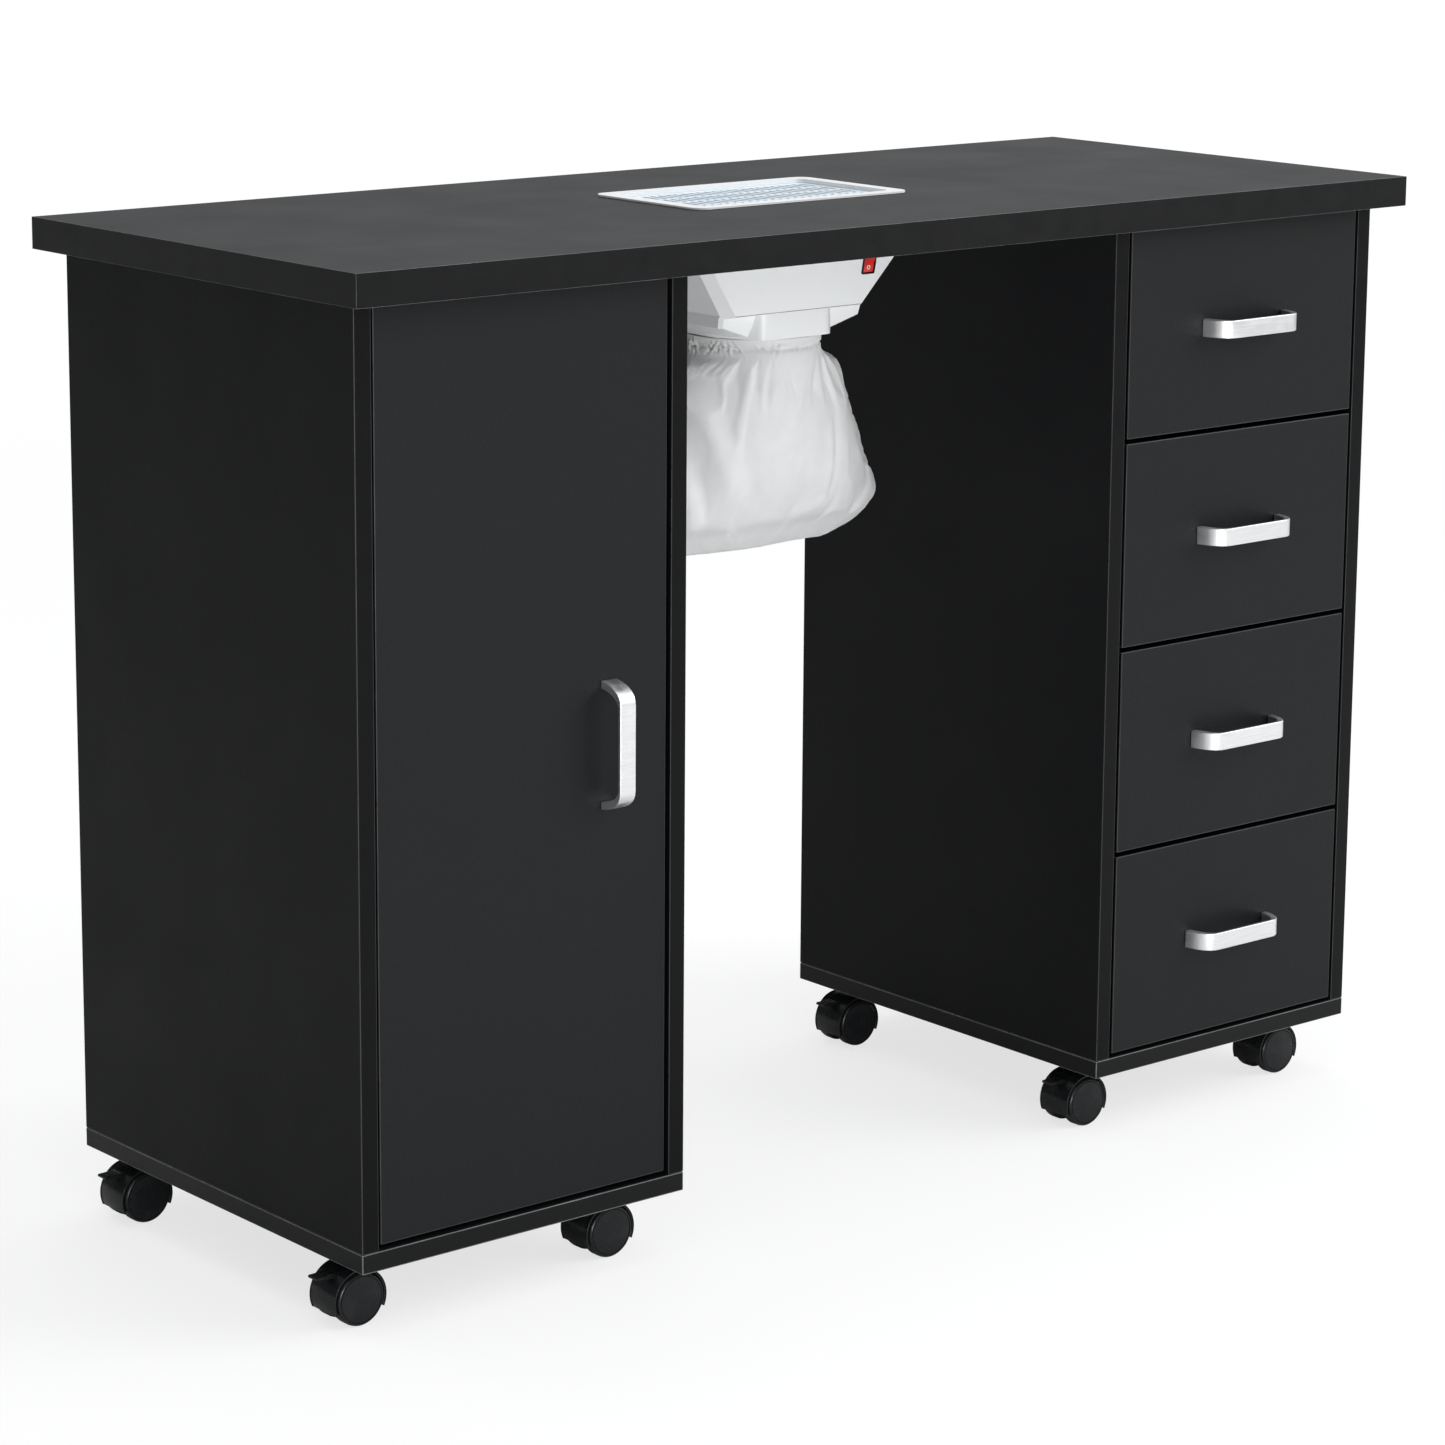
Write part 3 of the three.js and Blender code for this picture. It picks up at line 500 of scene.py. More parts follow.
# ---- making pieces ----
def joint_place(name):
    return Vector(next(joint for joint in frame["joints"] if joint["name"] == name)["pos_m"])


def new_piece(name, mesh, look, body, replaces=()):
    piece = bpy.data.objects.new(name, mesh)
    bpy.context.scene.collection.objects.link(piece)
    if not mesh.materials:
        mesh.materials.append(MATERIALS[look])
    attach(piece, body)
    if replaces:
        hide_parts(*replaces)
    return piece


def shaded_mesh(name, shape, sharp=SHARP_EDGE):
    """A smooth-shaded mesh of a bmesh, with the edges that turn further than sharp marked."""
    mesh = bpy.data.meshes.new(name)
    shape.to_mesh(mesh)
    shape.free()
    mesh.shade_smooth()
    mesh.set_sharp_from_angle(angle=math.radians(sharp))
    return mesh


def mesh_of(name, points, faces):
    """A mesh of points and faces, with its faces turned outwards."""
    shape = bmesh.new()
    made = [shape.verts.new(p) for p in points]
    for face in faces:
        shape.faces.new([made[i] for i in face])
    bmesh.ops.recalc_face_normals(shape, faces=shape.faces)
    return shaded_mesh(name, shape)


def joined(name, *meshes):
    """One mesh from several closed ones."""
    shape = bmesh.new()
    for mesh in meshes:
        shape.from_mesh(mesh)
    return shaded_mesh(name, shape)


def moved(mesh, matrix):
    mesh.transform(matrix)
    return mesh


def lathe(name, profile, steps=64):
    """A closed solid turned about Z from (radius, height) points that start and end on the axis."""
    inner = [(r, h) for r, h in profile if r > 0]
    points = [
        (r * math.cos(a), r * math.sin(a), h)
        for r, h in inner
        for a in (2 * math.pi * i / steps for i in range(steps))
    ]
    points += [(0, 0, profile[0][1]), (0, 0, profile[-1][1])]
    faces = []
    for i in range(steps):
        after = (i + 1) % steps
        for ring in range(len(inner) - 1):
            low, high = ring * steps, (ring + 1) * steps
            faces.append((low + i, low + after, high + after, high + i))
        last = (len(inner) - 1) * steps
        faces.append((len(points) - 2, after, i))
        faces.append((len(points) - 1, last + i, last + after))
    return mesh_of(name, points, faces)


def sweep(name, sections, closed=False):
    """A skin over sections of equally many points. An open one is capped at both ends."""
    count = len(sections[0])
    points = [p for section in sections for p in section]
    faces = []
    for s in range(len(sections) if closed else len(sections) - 1):
        here, there = s * count, (s + 1) % len(sections) * count
        for i in range(count):
            after = (i + 1) % count
            faces.append((here + i, here + after, there + after, there + i))
    if not closed:
        faces.append(tuple(range(count)))
        faces.append(tuple(range(len(points) - count, len(points))))
    return mesh_of(name, points, faces)


def plate(name, outline, low, high, axis="Z", bevel=0.0, segments=2):
    """An outline extruded between two heights along an axis, with rounded rims. Across Z the
    outline is (x, y), and across Y it is (x, z)."""
    shape = bmesh.new()
    lower, upper = (
        [shape.verts.new((a, b, at) if axis == "Z" else (a, at, b)) for a, b in outline]
        for at in (low, high)
    )
    caps = [shape.faces.new(lower), shape.faces.new(upper)]
    for i in range(len(outline)):
        after = (i + 1) % len(outline)
        shape.faces.new((lower[i], lower[after], upper[after], upper[i]))
    if bevel:
        rims = [e for cap in caps for e in cap.edges]
        bmesh.ops.bevel(
            shape, geom=rims, offset=bevel, segments=segments, affect="EDGES", clamp_overlap=True
        )
    bmesh.ops.recalc_face_normals(shape, faces=shape.faces)
    return shaded_mesh(name, shape)


def arc(centre, radius, start, end, steps):
    """Points on an arc between two angles in degrees."""
    return [
        (centre[0] + radius * math.cos(a), centre[1] + radius * math.sin(a))
        for a in (math.radians(start + (end - start) * i / steps) for i in range(steps + 1))
    ]


def rounded_rectangle(width, depth, radius, centre=(0.0, 0.0), steps=6):
    x, y = width / 2 - radius, depth / 2 - radius
    corners = ((x, y, 0), (-x, y, 90), (-x, -y, 180), (x, -y, 270))
    return [
        p
        for cx, cy, start in corners
        for p in arc((centre[0] + cx, centre[1] + cy), radius, start, start + 90, steps)
    ]


def ring_tube(name, centres, radius, sides=8, closed=True):
    """A round tube along a loop or a line of points."""
    sections = []
    count = len(centres)
    for i, point in enumerate(centres):
        before = centres[(i - 1) % count if closed else max(i - 1, 0)]
        after = centres[(i + 1) % count if closed else min(i + 1, count - 1)]
        along = (after - before).normalized()
        across = along.orthogonal() if abs(along.z) > 0.9 else along.cross(Vector((0, 0, 1)))
        across.normalize()
        other = along.cross(across)
        sections.append(
            [
                point + radius * (math.cos(a) * across + math.sin(a) * other)
                for a in (2 * math.pi * k / sides for k in range(sides))
            ]
        )
    return sweep(name, sections, closed)


# ---- boards ----
def finish_boards():
    # The boards' rounded edges take lighter greys than their faces: painted highlights along the edges.
    finish_node("worktop", "board_z", 0.9 * MM, "top_edge_painted_highlight")
    for side in SIDES:
        finish_node(f"{side}_cabinet_bottom", "board_z", 0.7 * MM, "bright_edge_painted_highlight")
        # The side panels take the darker copy of the melamine: painted shade.
        finish_node(f"{side}_cabinet_left_side", "board_x_painted_shade", 0.6 * MM, "soft_edge_painted_highlight")
        finish_node(f"{side}_cabinet_right_side", "board_x_painted_shade", 0.6 * MM, "soft_edge_painted_highlight")
        finish_node(f"{side}_cabinet_back", "board_y", 0.6 * MM, "soft_edge_painted_highlight")
    finish_node("left_cabinet_shelf", "inside", 0.6 * MM, "soft_edge_painted_highlight")
    finish_node("door", "board_y", 0.8 * MM, "soft_edge_painted_highlight")
    for number in DRAWERS:
        finish_node(f"drawer_{number}_front", "board_y", 0.8 * MM, "soft_edge_painted_highlight")
        finish_node(f"drawer_{number}_tray", "inside", 0.6 * MM)


# ---- handles ----
def finish_handles():
    for name in ("door_handle", *(f"drawer_{n}_handle" for n in DRAWERS)):
        finish_node(name, "silver", 0.7 * MM, segments=3)


# ---- door and drawer fittings ----
SCREW = {"radius": 4.2 * MM, "height": 2.4 * MM, "edge_share": 0.35}
SCREW |= {"slot": 0.9 * MM, "slot_length": 4.6 * MM, "sunk": 0.1 * MM, "proud": 0.08 * MM}
FITTING_GAP = 0.05 * MM  # between a screw's head and the board under it
HANDLE_SCREW_INSET = 3 * MM  # from the outer end of a handle's foot to the screw's centre
INTO_CABINET = Matrix.Rotation(math.radians(-90), 4, "X")  # turns +Z towards the back


def screw_mesh():
    """A pan head with a cross recess, standing on z = 0."""
    radius, height, edge = SCREW["radius"], SCREW["height"], SCREW["edge_share"]
    dome = [(0.0, 0.0), (radius, 0.0), (radius, edge * height)]
    dome += [
        (radius * math.cos(a), height * (edge + (1 - edge) * math.sin(a)))
        for a in (math.radians(15 * i) for i in range(1, 6))
    ]
    dome.append((0.0, height))
    head = lathe("screw_head", dome, 24)
    half, wide = SCREW["slot_length"] / 2, SCREW["slot"] / 2
    cross = [
        (half, -wide), (half, wide), (wide, wide), (wide, half), (-wide, half), (-wide, wide),
        (-half, wide), (-half, -wide), (-wide, -wide), (-wide, -half), (wide, -half), (wide, -wide),
    ]
    recess = plate("screw_recess", cross, height - SCREW["sunk"], height + SCREW["proud"])
    shape = bmesh.new()
    shape.from_mesh(head)
    head_faces = len(shape.faces)
    shape.from_mesh(recess)
    for index, face in enumerate(shape.faces):
        face.material_index = 0 if index < head_faces else 1
    screw = shaded_mesh("screw", shape)
    screw.materials.append(MATERIALS["zinc"])
    screw.materials.append(MATERIALS["bezel"])
    return screw


def add_handle_screws():
    """Two screws through the front hold each handle. Their heads show on the inside."""
    screw = screw_mesh()
    fronts = [("door", "door_handle", "door")]
    fronts += [(f"drawer_{n}_front", f"drawer_{n}_handle", f"drawer_{n}") for n in DRAWERS]
    for front, handle, body in fronts:
        back_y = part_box(front)[1].y
        low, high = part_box(handle)
        middle = (low + high) / 2
        if high.z - low.z > high.x - low.x:
            spots = [(middle.x, low.z + HANDLE_SCREW_INSET), (middle.x, high.z - HANDLE_SCREW_INSET)]
        else:
            spots = [(low.x + HANDLE_SCREW_INSET, middle.z), (high.x - HANDLE_SCREW_INSET, middle.z)]
        for label, (x, z) in zip(("a", "b"), spots):
            piece = new_piece(f"{handle}_screw_{label}", screw, "zinc", body)
            piece.matrix_world = Matrix.Translation((x, back_y + FITTING_GAP, z)) @ INTO_CABINET


HINGE_CUP = {"radius": 17.2 * MM, "depth": 11 * MM, "wall": 1.0 * MM, "from_edge": 22.5 * MM}
HINGE_FLANGE = {"radius": 19.6 * MM, "low": 0.02 * MM, "high": 0.2 * MM}
HINGE_KNUCKLE = {"width": 9 * MM, "length": 15 * MM, "corner": 2 * MM, "top": -0.6 * MM}
HINGE_FROM_END = 100 * MM


def add_hinge_cups():
    """The door's half of each concealed hinge: a cup let into the back of the door, with the
    knuckle that the arm grips."""
    low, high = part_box("door")
    radius, depth, wall = HINGE_CUP["radius"], HINGE_CUP["depth"], HINGE_CUP["wall"]
    lip, lip_low, lip_high = HINGE_FLANGE.values()
    profile = [
        (0.0, -depth), (radius, -depth), (radius, lip_low), (lip, lip_low), (lip, lip_high),
        (radius - wall, lip_high), (radius - wall, wall - depth), (0.0, wall - depth),
    ]
    width, length, corner, top = HINGE_KNUCKLE.values()
    foot = rounded_rectangle(width, length, corner)
    x = low.x + HINGE_CUP["from_edge"]
    for label, z in (("lower", low.z + HINGE_FROM_END), ("upper", high.z - HINGE_FROM_END)):
        cup = lathe(f"hinge_cup_{label}", profile, 48)
        knuckle = plate("knuckle", foot, wall - depth, top, bevel=0.8 * MM)
        mesh = joined(f"hinge_cup_{label}", cup, knuckle)
        piece = new_piece(f"hinge_cup_{label}", mesh, "zinc", "door")
        piece.matrix_world = Matrix.Translation((x, high.y, z)) @ INTO_CABINET
    for label in ("lower", "upper"):
        finish_node(f"door_hinge_{label}", "zinc", 0.6 * MM)


RUNNER_STEEL = 1.5 * MM
SLIDE = {"steel": 1.2 * MM, "reach": 7.0 * MM, "slack": 0.7 * MM, "gap": 0.15 * MM}


def add_drawer_slides():
    """The half of each runner that rides on the drawer, inside the channel on the cabinet."""
    for number in DRAWERS:
        tray_low, tray_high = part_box(f"drawer_{number}_tray")
        for label, sign in (("left", -1), ("right", 1)):
            runner = f"drawer_{number}_runner_{label}"
            finish_node(runner, "zinc", 0.4 * MM)
            low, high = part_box(runner)
            inside = RUNNER_STEEL + SLIDE["slack"]
            bottom, top = low.z + inside, high.z - inside
            wall = (tray_low.x if sign < 0 else tray_high.x) + sign * SLIDE["gap"]
            steel = SLIDE["steel"]
            web, lip = wall + sign * steel, wall + sign * SLIDE["reach"]
            outline = [
                (wall, bottom), (lip, bottom), (lip, bottom + steel), (web, bottom + steel),
                (web, top - steel), (lip, top - steel), (lip, top), (wall, top),
            ]
            mesh = plate(f"{runner}_slide", outline, low.y, high.y, axis="Y", bevel=0.25 * MM)
            new_piece(f"drawer_{number}_slide_{label}", mesh, "zinc", f"drawer_{number}")


SHELF_PIN = {"radius": 2.5 * MM, "reach": 8 * MM, "inset": 45 * MM, "chamfer": 0.6 * MM, "gap": 0.1 * MM}
CAM_CAP = {"radius": 8.5 * MM, "height": 0.6 * MM, "inset": 60 * MM, "below": 34 * MM}


def stud(name, radius, height, shoulder, chamfer, steps):
    """A round stud that stands on z = 0, straight up to its shoulder and chamfered above it."""
    profile = [(0.0, 0.0), (radius, 0.0), (radius, shoulder), (radius - chamfer, height), (0.0, height)]
    return lathe(name, profile, steps)


def stand_on_side(piece, place, sign):
    """Turns a piece that stands on z = 0 to stand out along X, with its foot at a place."""
    turn = Matrix.Rotation(math.radians(90 * sign), 4, "Y")
    piece.matrix_world = Matrix.Translation(place) @ turn


def add_shelf_pins():
    low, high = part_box("left_cabinet_shelf")
    radius, reach, inset, chamfer, gap = SHELF_PIN.values()
    z = low.z - radius - gap
    for label, x, sign in (("left", low.x, 1), ("right", high.x, -1)):
        for end, y in (("front", low.y + inset), ("back", high.y - inset)):
            name = f"shelf_pin_{label}_{end}"
            pin = stud(name, radius, reach, reach - chamfer, chamfer, 20)
            piece = new_piece(name, pin, "zinc", "table")
            stand_on_side(piece, (x, y, z), sign)


def add_cam_caps():
    """The caps of the cam fittings inside both cabinets."""
    radius, height, inset, below = CAM_CAP.values()
    for side in SIDES:
        for wall, sign in (("left", 1), ("right", -1)):
            low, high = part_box(f"{side}_cabinet_{wall}_side")
            x = (high if sign > 0 else low).x
            for end, y in (("front", low.y + inset), ("back", high.y - inset)):
                for level, z in (("low", low.z + below), ("high", high.z - below)):
                    name = f"{side}_{wall}_cam_cap_{end}_{level}"
                    cap = stud(name, radius, height, 0.5 * height, 0.5 * height, 28)
                    piece = new_piece(name, cap, "nylon", "table")
                    stand_on_side(piece, (x, y, z), sign)


# ---- casters ----
WHEEL_BORE = 3.0 * MM
WHEEL_GAP = 7 * MM  # from the middle of a caster to the inner face of each wheel
# Corners of a wheel's section, in mm. Both count inwards from the tread first. The second number
# counts out from the inner face, or in from the outer face.
WHEEL_INNER_EDGE = ((1.6, 0), (1.0, 0.15), (0.3, 0.7), (0, 1.6))
WHEEL_OUTER_EDGE = (
    (0, 3.4), (0.25, 2.2), (0.9, 1.3), (1.7, 0.9), (2.2, 0.95), (2.5, 1.5), (2.9, 1.5), (3.2, 0.9),
)
COVER_STEPS = 8
FENDER = {"inner": 21.8 * MM, "outer": 23.4 * MM, "half": 16 * MM, "from": -25, "to": 205}
FENDER |= {"soft": 0.35 * MM, "rim_rise": 0.35 * MM, "rim_depth": 0.4 * MM, "rim_width": 1.1 * MM}
WEB = {"half": 6.6 * MM, "overlap": 0.3 * MM}
# Corners of the neck: its foot over the axle, its back beyond the pin and over the axle, and the
# two ends of its top, either side of the pin and below the board.
NECK = {"foot": 6 * MM, "back": (5 * MM, 12 * MM), "top": (-8.0 * MM, 7.6 * MM), "below": 6 * MM}
# Section of the collar round the pin, in mm: radius and depth below the board.
COLLAR = ((0, 9), (8.0, 9), (8.5, 8.4), (8.5, 3.2), (9.6, 2.6), (9.6, 0.8), (9.1, 0.3), (0, 0.3))
STEM = {"radius": 4 * MM, "below": 2 * MM, "chamfer": 0.6 * MM}
LEVER_PIVOT = (-9 * MM, 13 * MM)  # from the axle, in x and z
LEVER_BARREL = {"radius": 3.0 * MM, "chamfer": 0.6 * MM}
# Outline of a lever, in mm from its pivot. The three corners of its tip count x from the tip.
LEVER_UPPER = ((0.6, 1.6), (-3.6, 5.3), (-7.0, 7.5), (-10.5, 7.9), (-16.0, 7.2))
LEVER_TIP = ((0.7, 7.3), (0, 6.6), (0.3, 5.3))
LEVER_LOWER = ((-16.0, 5.0), (-10.5, 5.4), (-8.0, 5.0), (-4.4, 2.6), (0.6, -1.4))
LEVER_RIBS = {"count": 4, "first": 2.2 * MM, "pitch": 1.9 * MM, "rise": 7.3 * MM, "inset": 1.2 * MM}
LEVER_RIB = {"width": 0.9 * MM, "depth": 0.7 * MM, "radius": 0.3 * MM}
ONTO_AXLE = Matrix.Rotation(math.radians(90), 4, "X")  # turns +Z towards the front


def wheel_mesh(radius, half):
    """Both wheels of a caster and their hub, about Y. Each has a rounded tread, a groove inside
    the rim and a domed cover."""
    side = [(WHEEL_BORE, WHEEL_GAP)]
    side += [(radius - inwards * MM, WHEEL_GAP + out * MM) for inwards, out in WHEEL_INNER_EDGE]
    side += [(radius - inwards * MM, half - back * MM) for inwards, back in WHEEL_OUTER_EDGE]
    rim = side[-1][0]
    dish = WHEEL_OUTER_EDGE[-1][1] * MM
    left = [1 - i / COVER_STEPS for i in range(1, COVER_STEPS)]
    side += [(rim * share, half - dish * share**2) for share in left]
    profile = [(0.0, -half)] + [(r, -h) for r, h in reversed(side)] + side + [(0.0, half)]
    return moved(lathe("caster_wheels", profile, 72), ONTO_AXLE)


def fender_band(name, inner, outer, low, high, steps=48):
    """A band bent round the axle, with rounded corners in its section, between y low and high."""
    soft = min(FENDER["soft"], (outer - inner) / 3)
    section = rounded_rectangle(outer - inner, high - low, soft, steps=3)
    middle_r, middle_y = (inner + outer) / 2, (low + high) / 2
    sections = []
    for i in range(steps + 1):
        a = math.radians(FENDER["from"] + (FENDER["to"] - FENDER["from"]) * i / steps)
        turned = [(middle_r + r, middle_y + y) for r, y in section]
        sections.append([(r * math.cos(a), y, r * math.sin(a)) for r, y in turned])
    return sweep(name, sections)


def hood_mesh(trail, board_drop, stem_rise):
    """Web, fender, collar and stem of a caster, from its axle."""
    inner, outer, half = FENDER["inner"], FENDER["outer"], FENDER["half"]
    fender = fender_band("fender", inner, outer, -half, half)
    rim_low, rim_high = outer - FENDER["rim_depth"], outer + FENDER["rim_rise"]
    rim_half = FENDER["rim_width"] / 2
    rims = [
        fender_band("rim", rim_low, rim_high, y - rim_half, y + rim_half) for y in (-half, half)
    ]
    web_outline = arc((0, 0), inner + WEB["overlap"], FENDER["from"], FENDER["to"], 40)
    web = plate("web", web_outline, -WEB["half"], WEB["half"], axis="Y", bevel=0.5 * MM)
    back_x, back_z = NECK["back"]
    top_front, top_back = NECK["top"]
    neck_top = board_drop - NECK["below"]
    neck_outline = [
        (0.0, NECK["foot"]), (trail + back_x, back_z), (trail + top_back, neck_top),
        (trail + top_front, neck_top),
    ]
    neck = plate("neck", neck_outline, -WEB["half"], WEB["half"], axis="Y", bevel=1.0 * MM)
    onto_pin = Matrix.Translation((trail, 0, 0))
    collar = lathe("collar", [(r * MM, board_drop - below * MM) for r, below in COLLAR], 40)
    radius, below, chamfer = STEM.values()
    stem_profile = [
        (0.0, board_drop - below), (radius, board_drop - below), (radius, stem_rise - chamfer),
        (radius - chamfer, stem_rise), (0.0, stem_rise),
    ]
    stem = lathe("stem", stem_profile, 24)
    return joined("caster_hood", fender, *rims, web, neck, moved(collar, onto_pin), moved(stem, onto_pin))


def lever_mesh(low, high, pivot):
    """A brake lever: a barrel across the hood, and a tab with a turned-up, ribbed end."""
    half = (high.y - low.y) / 2
    radius, chamfer = LEVER_BARREL.values()
    barrel_profile = [
        (0.0, -half), (radius - chamfer, -half), (radius, -half + chamfer),
        (radius, half - chamfer), (radius - chamfer, half), (0.0, half),
    ]
    barrel = moved(lathe("barrel", barrel_profile, 32), ONTO_AXLE)
    tip_x = low.x - pivot.x
    outline = [(x * MM, z * MM) for x, z in LEVER_UPPER]
    outline += [(tip_x + x * MM, z * MM) for x, z in LEVER_TIP]
    outline += [(x * MM, z * MM) for x, z in LEVER_LOWER]
    tab = plate("tab", outline, -half, half, axis="Y", bevel=0.6 * MM)
    count, first, pitch, rise, inset = LEVER_RIBS.values()
    ribs = []
    for i in range(count):
        section = rounded_rectangle(*LEVER_RIB.values(), (tip_x + first + pitch * i, rise), 3)
        ribs.append(plate("rib", section, -half + inset, half - inset, axis="Y"))
    return moved(joined("brake_lever", barrel, tab, *ribs), Matrix.Translation(pivot))


def add_caster_piece(caster, label, mesh, body, node):
    """A black moulding that rides on a body of its caster and stands for a node of it."""
    new_piece(
        f"{caster}_{label}", mesh, "nylon", f"{caster}_{body}", [f"{caster}_{node}"]
    )


def add_casters():
    for side in SIDES:
        for place in PLACES:
            name = f"{side}_caster_{place}"
            low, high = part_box(f"{name}_wheels")
            axle = (low + high) / 2
            wheels = moved(wheel_mesh((high.z - low.z) / 2, (high.y - low.y) / 2), Matrix.Translation(axle))
            add_caster_piece(name, "discs", wheels, "wheels", "wheels")
            pin_x = joint_place(f"{name}_swivel").x
            board_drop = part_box(f"{side}_cabinet_bottom")[0].z - axle.z
            stem_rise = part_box(f"{name}_hood")[1].z - axle.z
            hood = hood_mesh(pin_x - axle.x, board_drop, stem_rise)
            add_caster_piece(name, "shell", moved(hood, Matrix.Translation(axle)), "swivel", "hood")
            if place in BRAKED_PLACES:
                low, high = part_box(f"{name}_brake")
                pivot = Vector((axle.x + LEVER_PIVOT[0], axle.y, axle.z + LEVER_PIVOT[1]))
                add_caster_piece(name, "lever", lever_mesh(low, high, pivot), "brake", "brake")


# ---- vent in the worktop ----
GRILLE = {"rows": 4, "columns": 24, "border": 6 * MM, "row_rib": 3.6 * MM, "slat_share": 0.4}
GRILLE |= {"rim": 0.7 * MM, "sharp": 40}


def grille_mesh():
    """A slab pierced by rows of narrow slots, with rounded slats."""
    low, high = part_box("vent_grille")

    def stops(start, end, count, rib):
        """Edges of the solid and open strips across one direction."""
        pitch = (end - start - 2 * GRILLE["border"] + rib) / count
        edges = [start]
        for i in range(count):
            opening = start + GRILLE["border"] + i * pitch
            edges += [opening, opening + pitch - rib]
        return [*edges, end]

    slot_pitch = (high.x - low.x - 2 * GRILLE["border"]) / GRILLE["columns"]
    xs = stops(low.x, high.x, GRILLE["columns"], GRILLE["slat_share"] * slot_pitch)
    ys = stops(low.y, high.y, GRILLE["rows"], GRILLE["row_rib"])
    shape = bmesh.new()
    levels = [{}, {}]
    for level, z in zip(levels, (low.z, high.z)):
        for i, x in enumerate(xs):
            for j, y in enumerate(ys):
                level[i, j] = shape.verts.new((x, y, z))
    bottom, top = levels
    solid = {
        (i, j) for i in range(len(xs) - 1) for j in range(len(ys) - 1) if i % 2 == 0 or j % 2 == 0
    }
    for i, j in solid:
        loop = [(i, j), (i + 1, j), (i + 1, j + 1), (i, j + 1)]
        shape.faces.new([top[p] for p in loop])
        shape.faces.new([bottom[p] for p in reversed(loop)])
        for k, (step_i, step_j) in enumerate(((0, -1), (1, 0), (0, 1), (-1, 0))):
            if (i + step_i, j + step_j) not in solid:
                a, b = loop[k], loop[(k + 1) % 4]
                shape.faces.new([bottom[a], bottom[b], top[b], top[a]])
    rims = [
        e
        for e in shape.edges
        if e.is_manifold and e.calc_face_angle(0) > 1 and all(v.co.z > high.z - 0.01 * MM for v in e.verts)
    ]
    bmesh.ops.bevel(
        shape, geom=rims, offset=GRILLE["rim"], segments=3, affect="EDGES", clamp_overlap=True
    )
    bmesh.ops.recalc_face_normals(shape, faces=shape.faces)
    return shaded_mesh("vent_slats", shape, GRILLE["sharp"])


def add_vent():
    finish_node("vent_frame", "white", 0.6 * MM, segments=3)
    new_piece("vent_slats", grille_mesh(), "grille", "table", ["vent_grille"])


# ---- extractor housing ----
SEAM_Z = 711 * MM
SEAM_SHADOW_LINE = {"proud": 0.05 * MM, "radius": 0.25 * MM, "corners": 6}
ROCKER_MARK = {"radius": 1.5 * MM, "wire": 0.26 * MM, "below": 4.0 * MM, "height": 0.5 * MM}
WALL_RUN, WALL_RISE = 12 * MM, 63.7 * MM  # of the housing's front wall, which leans inwards below
# A shoulder is the share of the bezel's rise where its chamfer starts.
BEZEL = {"width": 13.6 * MM, "length": 19.4 * MM, "corner": 1.6 * MM, "rise": 1.6 * MM}
BEZEL |= {"shoulder": 0.55, "chamfer": 0.35 * MM}
BEZEL_INSIDE = {"width": 11.4 * MM, "length": 17.0 * MM, "corner": 0.8 * MM, "depth": 3 * MM}
BEZEL_INSIDE |= {"shoulder": 0.6, "chamfer": 0.3 * MM}


def housing_section(z, proud):
    """The housing's outline at a height, in the front of its outer wall: eight corners."""
    node = NODES["dust_housing"]
    ring = {}
    for vertex in node.data.vertices:
        if abs(vertex.co.z - z) < 0.05 * MM:
            ring[(round(vertex.co.x, 5), round(vertex.co.y, 5))] = vertex.co
    centre = sum(ring.values(), Vector()) / len(ring)
    outer = sorted(ring.values(), key=lambda p: -(p - centre).length)[:8]
    outer.sort(key=lambda p: math.atan2(p.y - centre.y, p.x - centre.x))
    return [p + (p - centre).normalized() * proud for p in outer]


def add_housing():
    finish_node("dust_housing", "white", 1.1 * MM, segments=3, sharper_than=30)
    corners = housing_section(SEAM_Z, SEAM_SHADOW_LINE["proud"])
    # From the left end of the front wall, along the front, the right and the back. The left wall
    # has no line.
    first = max(range(8), key=lambda i: -corners[i].x - 2 * corners[i].y)
    line = (corners[first:] + corners[:first])[:SEAM_SHADOW_LINE["corners"]]
    # A grey tube along the joint of the housing's halves: a painted shadow line for the gap there.
    seam = ring_tube("housing_seam", line, SEAM_SHADOW_LINE["radius"], closed=False)
    new_piece("housing_seam", seam, "seam", "table")
    finish_node("dust_fan", "fan", 0.4 * MM)


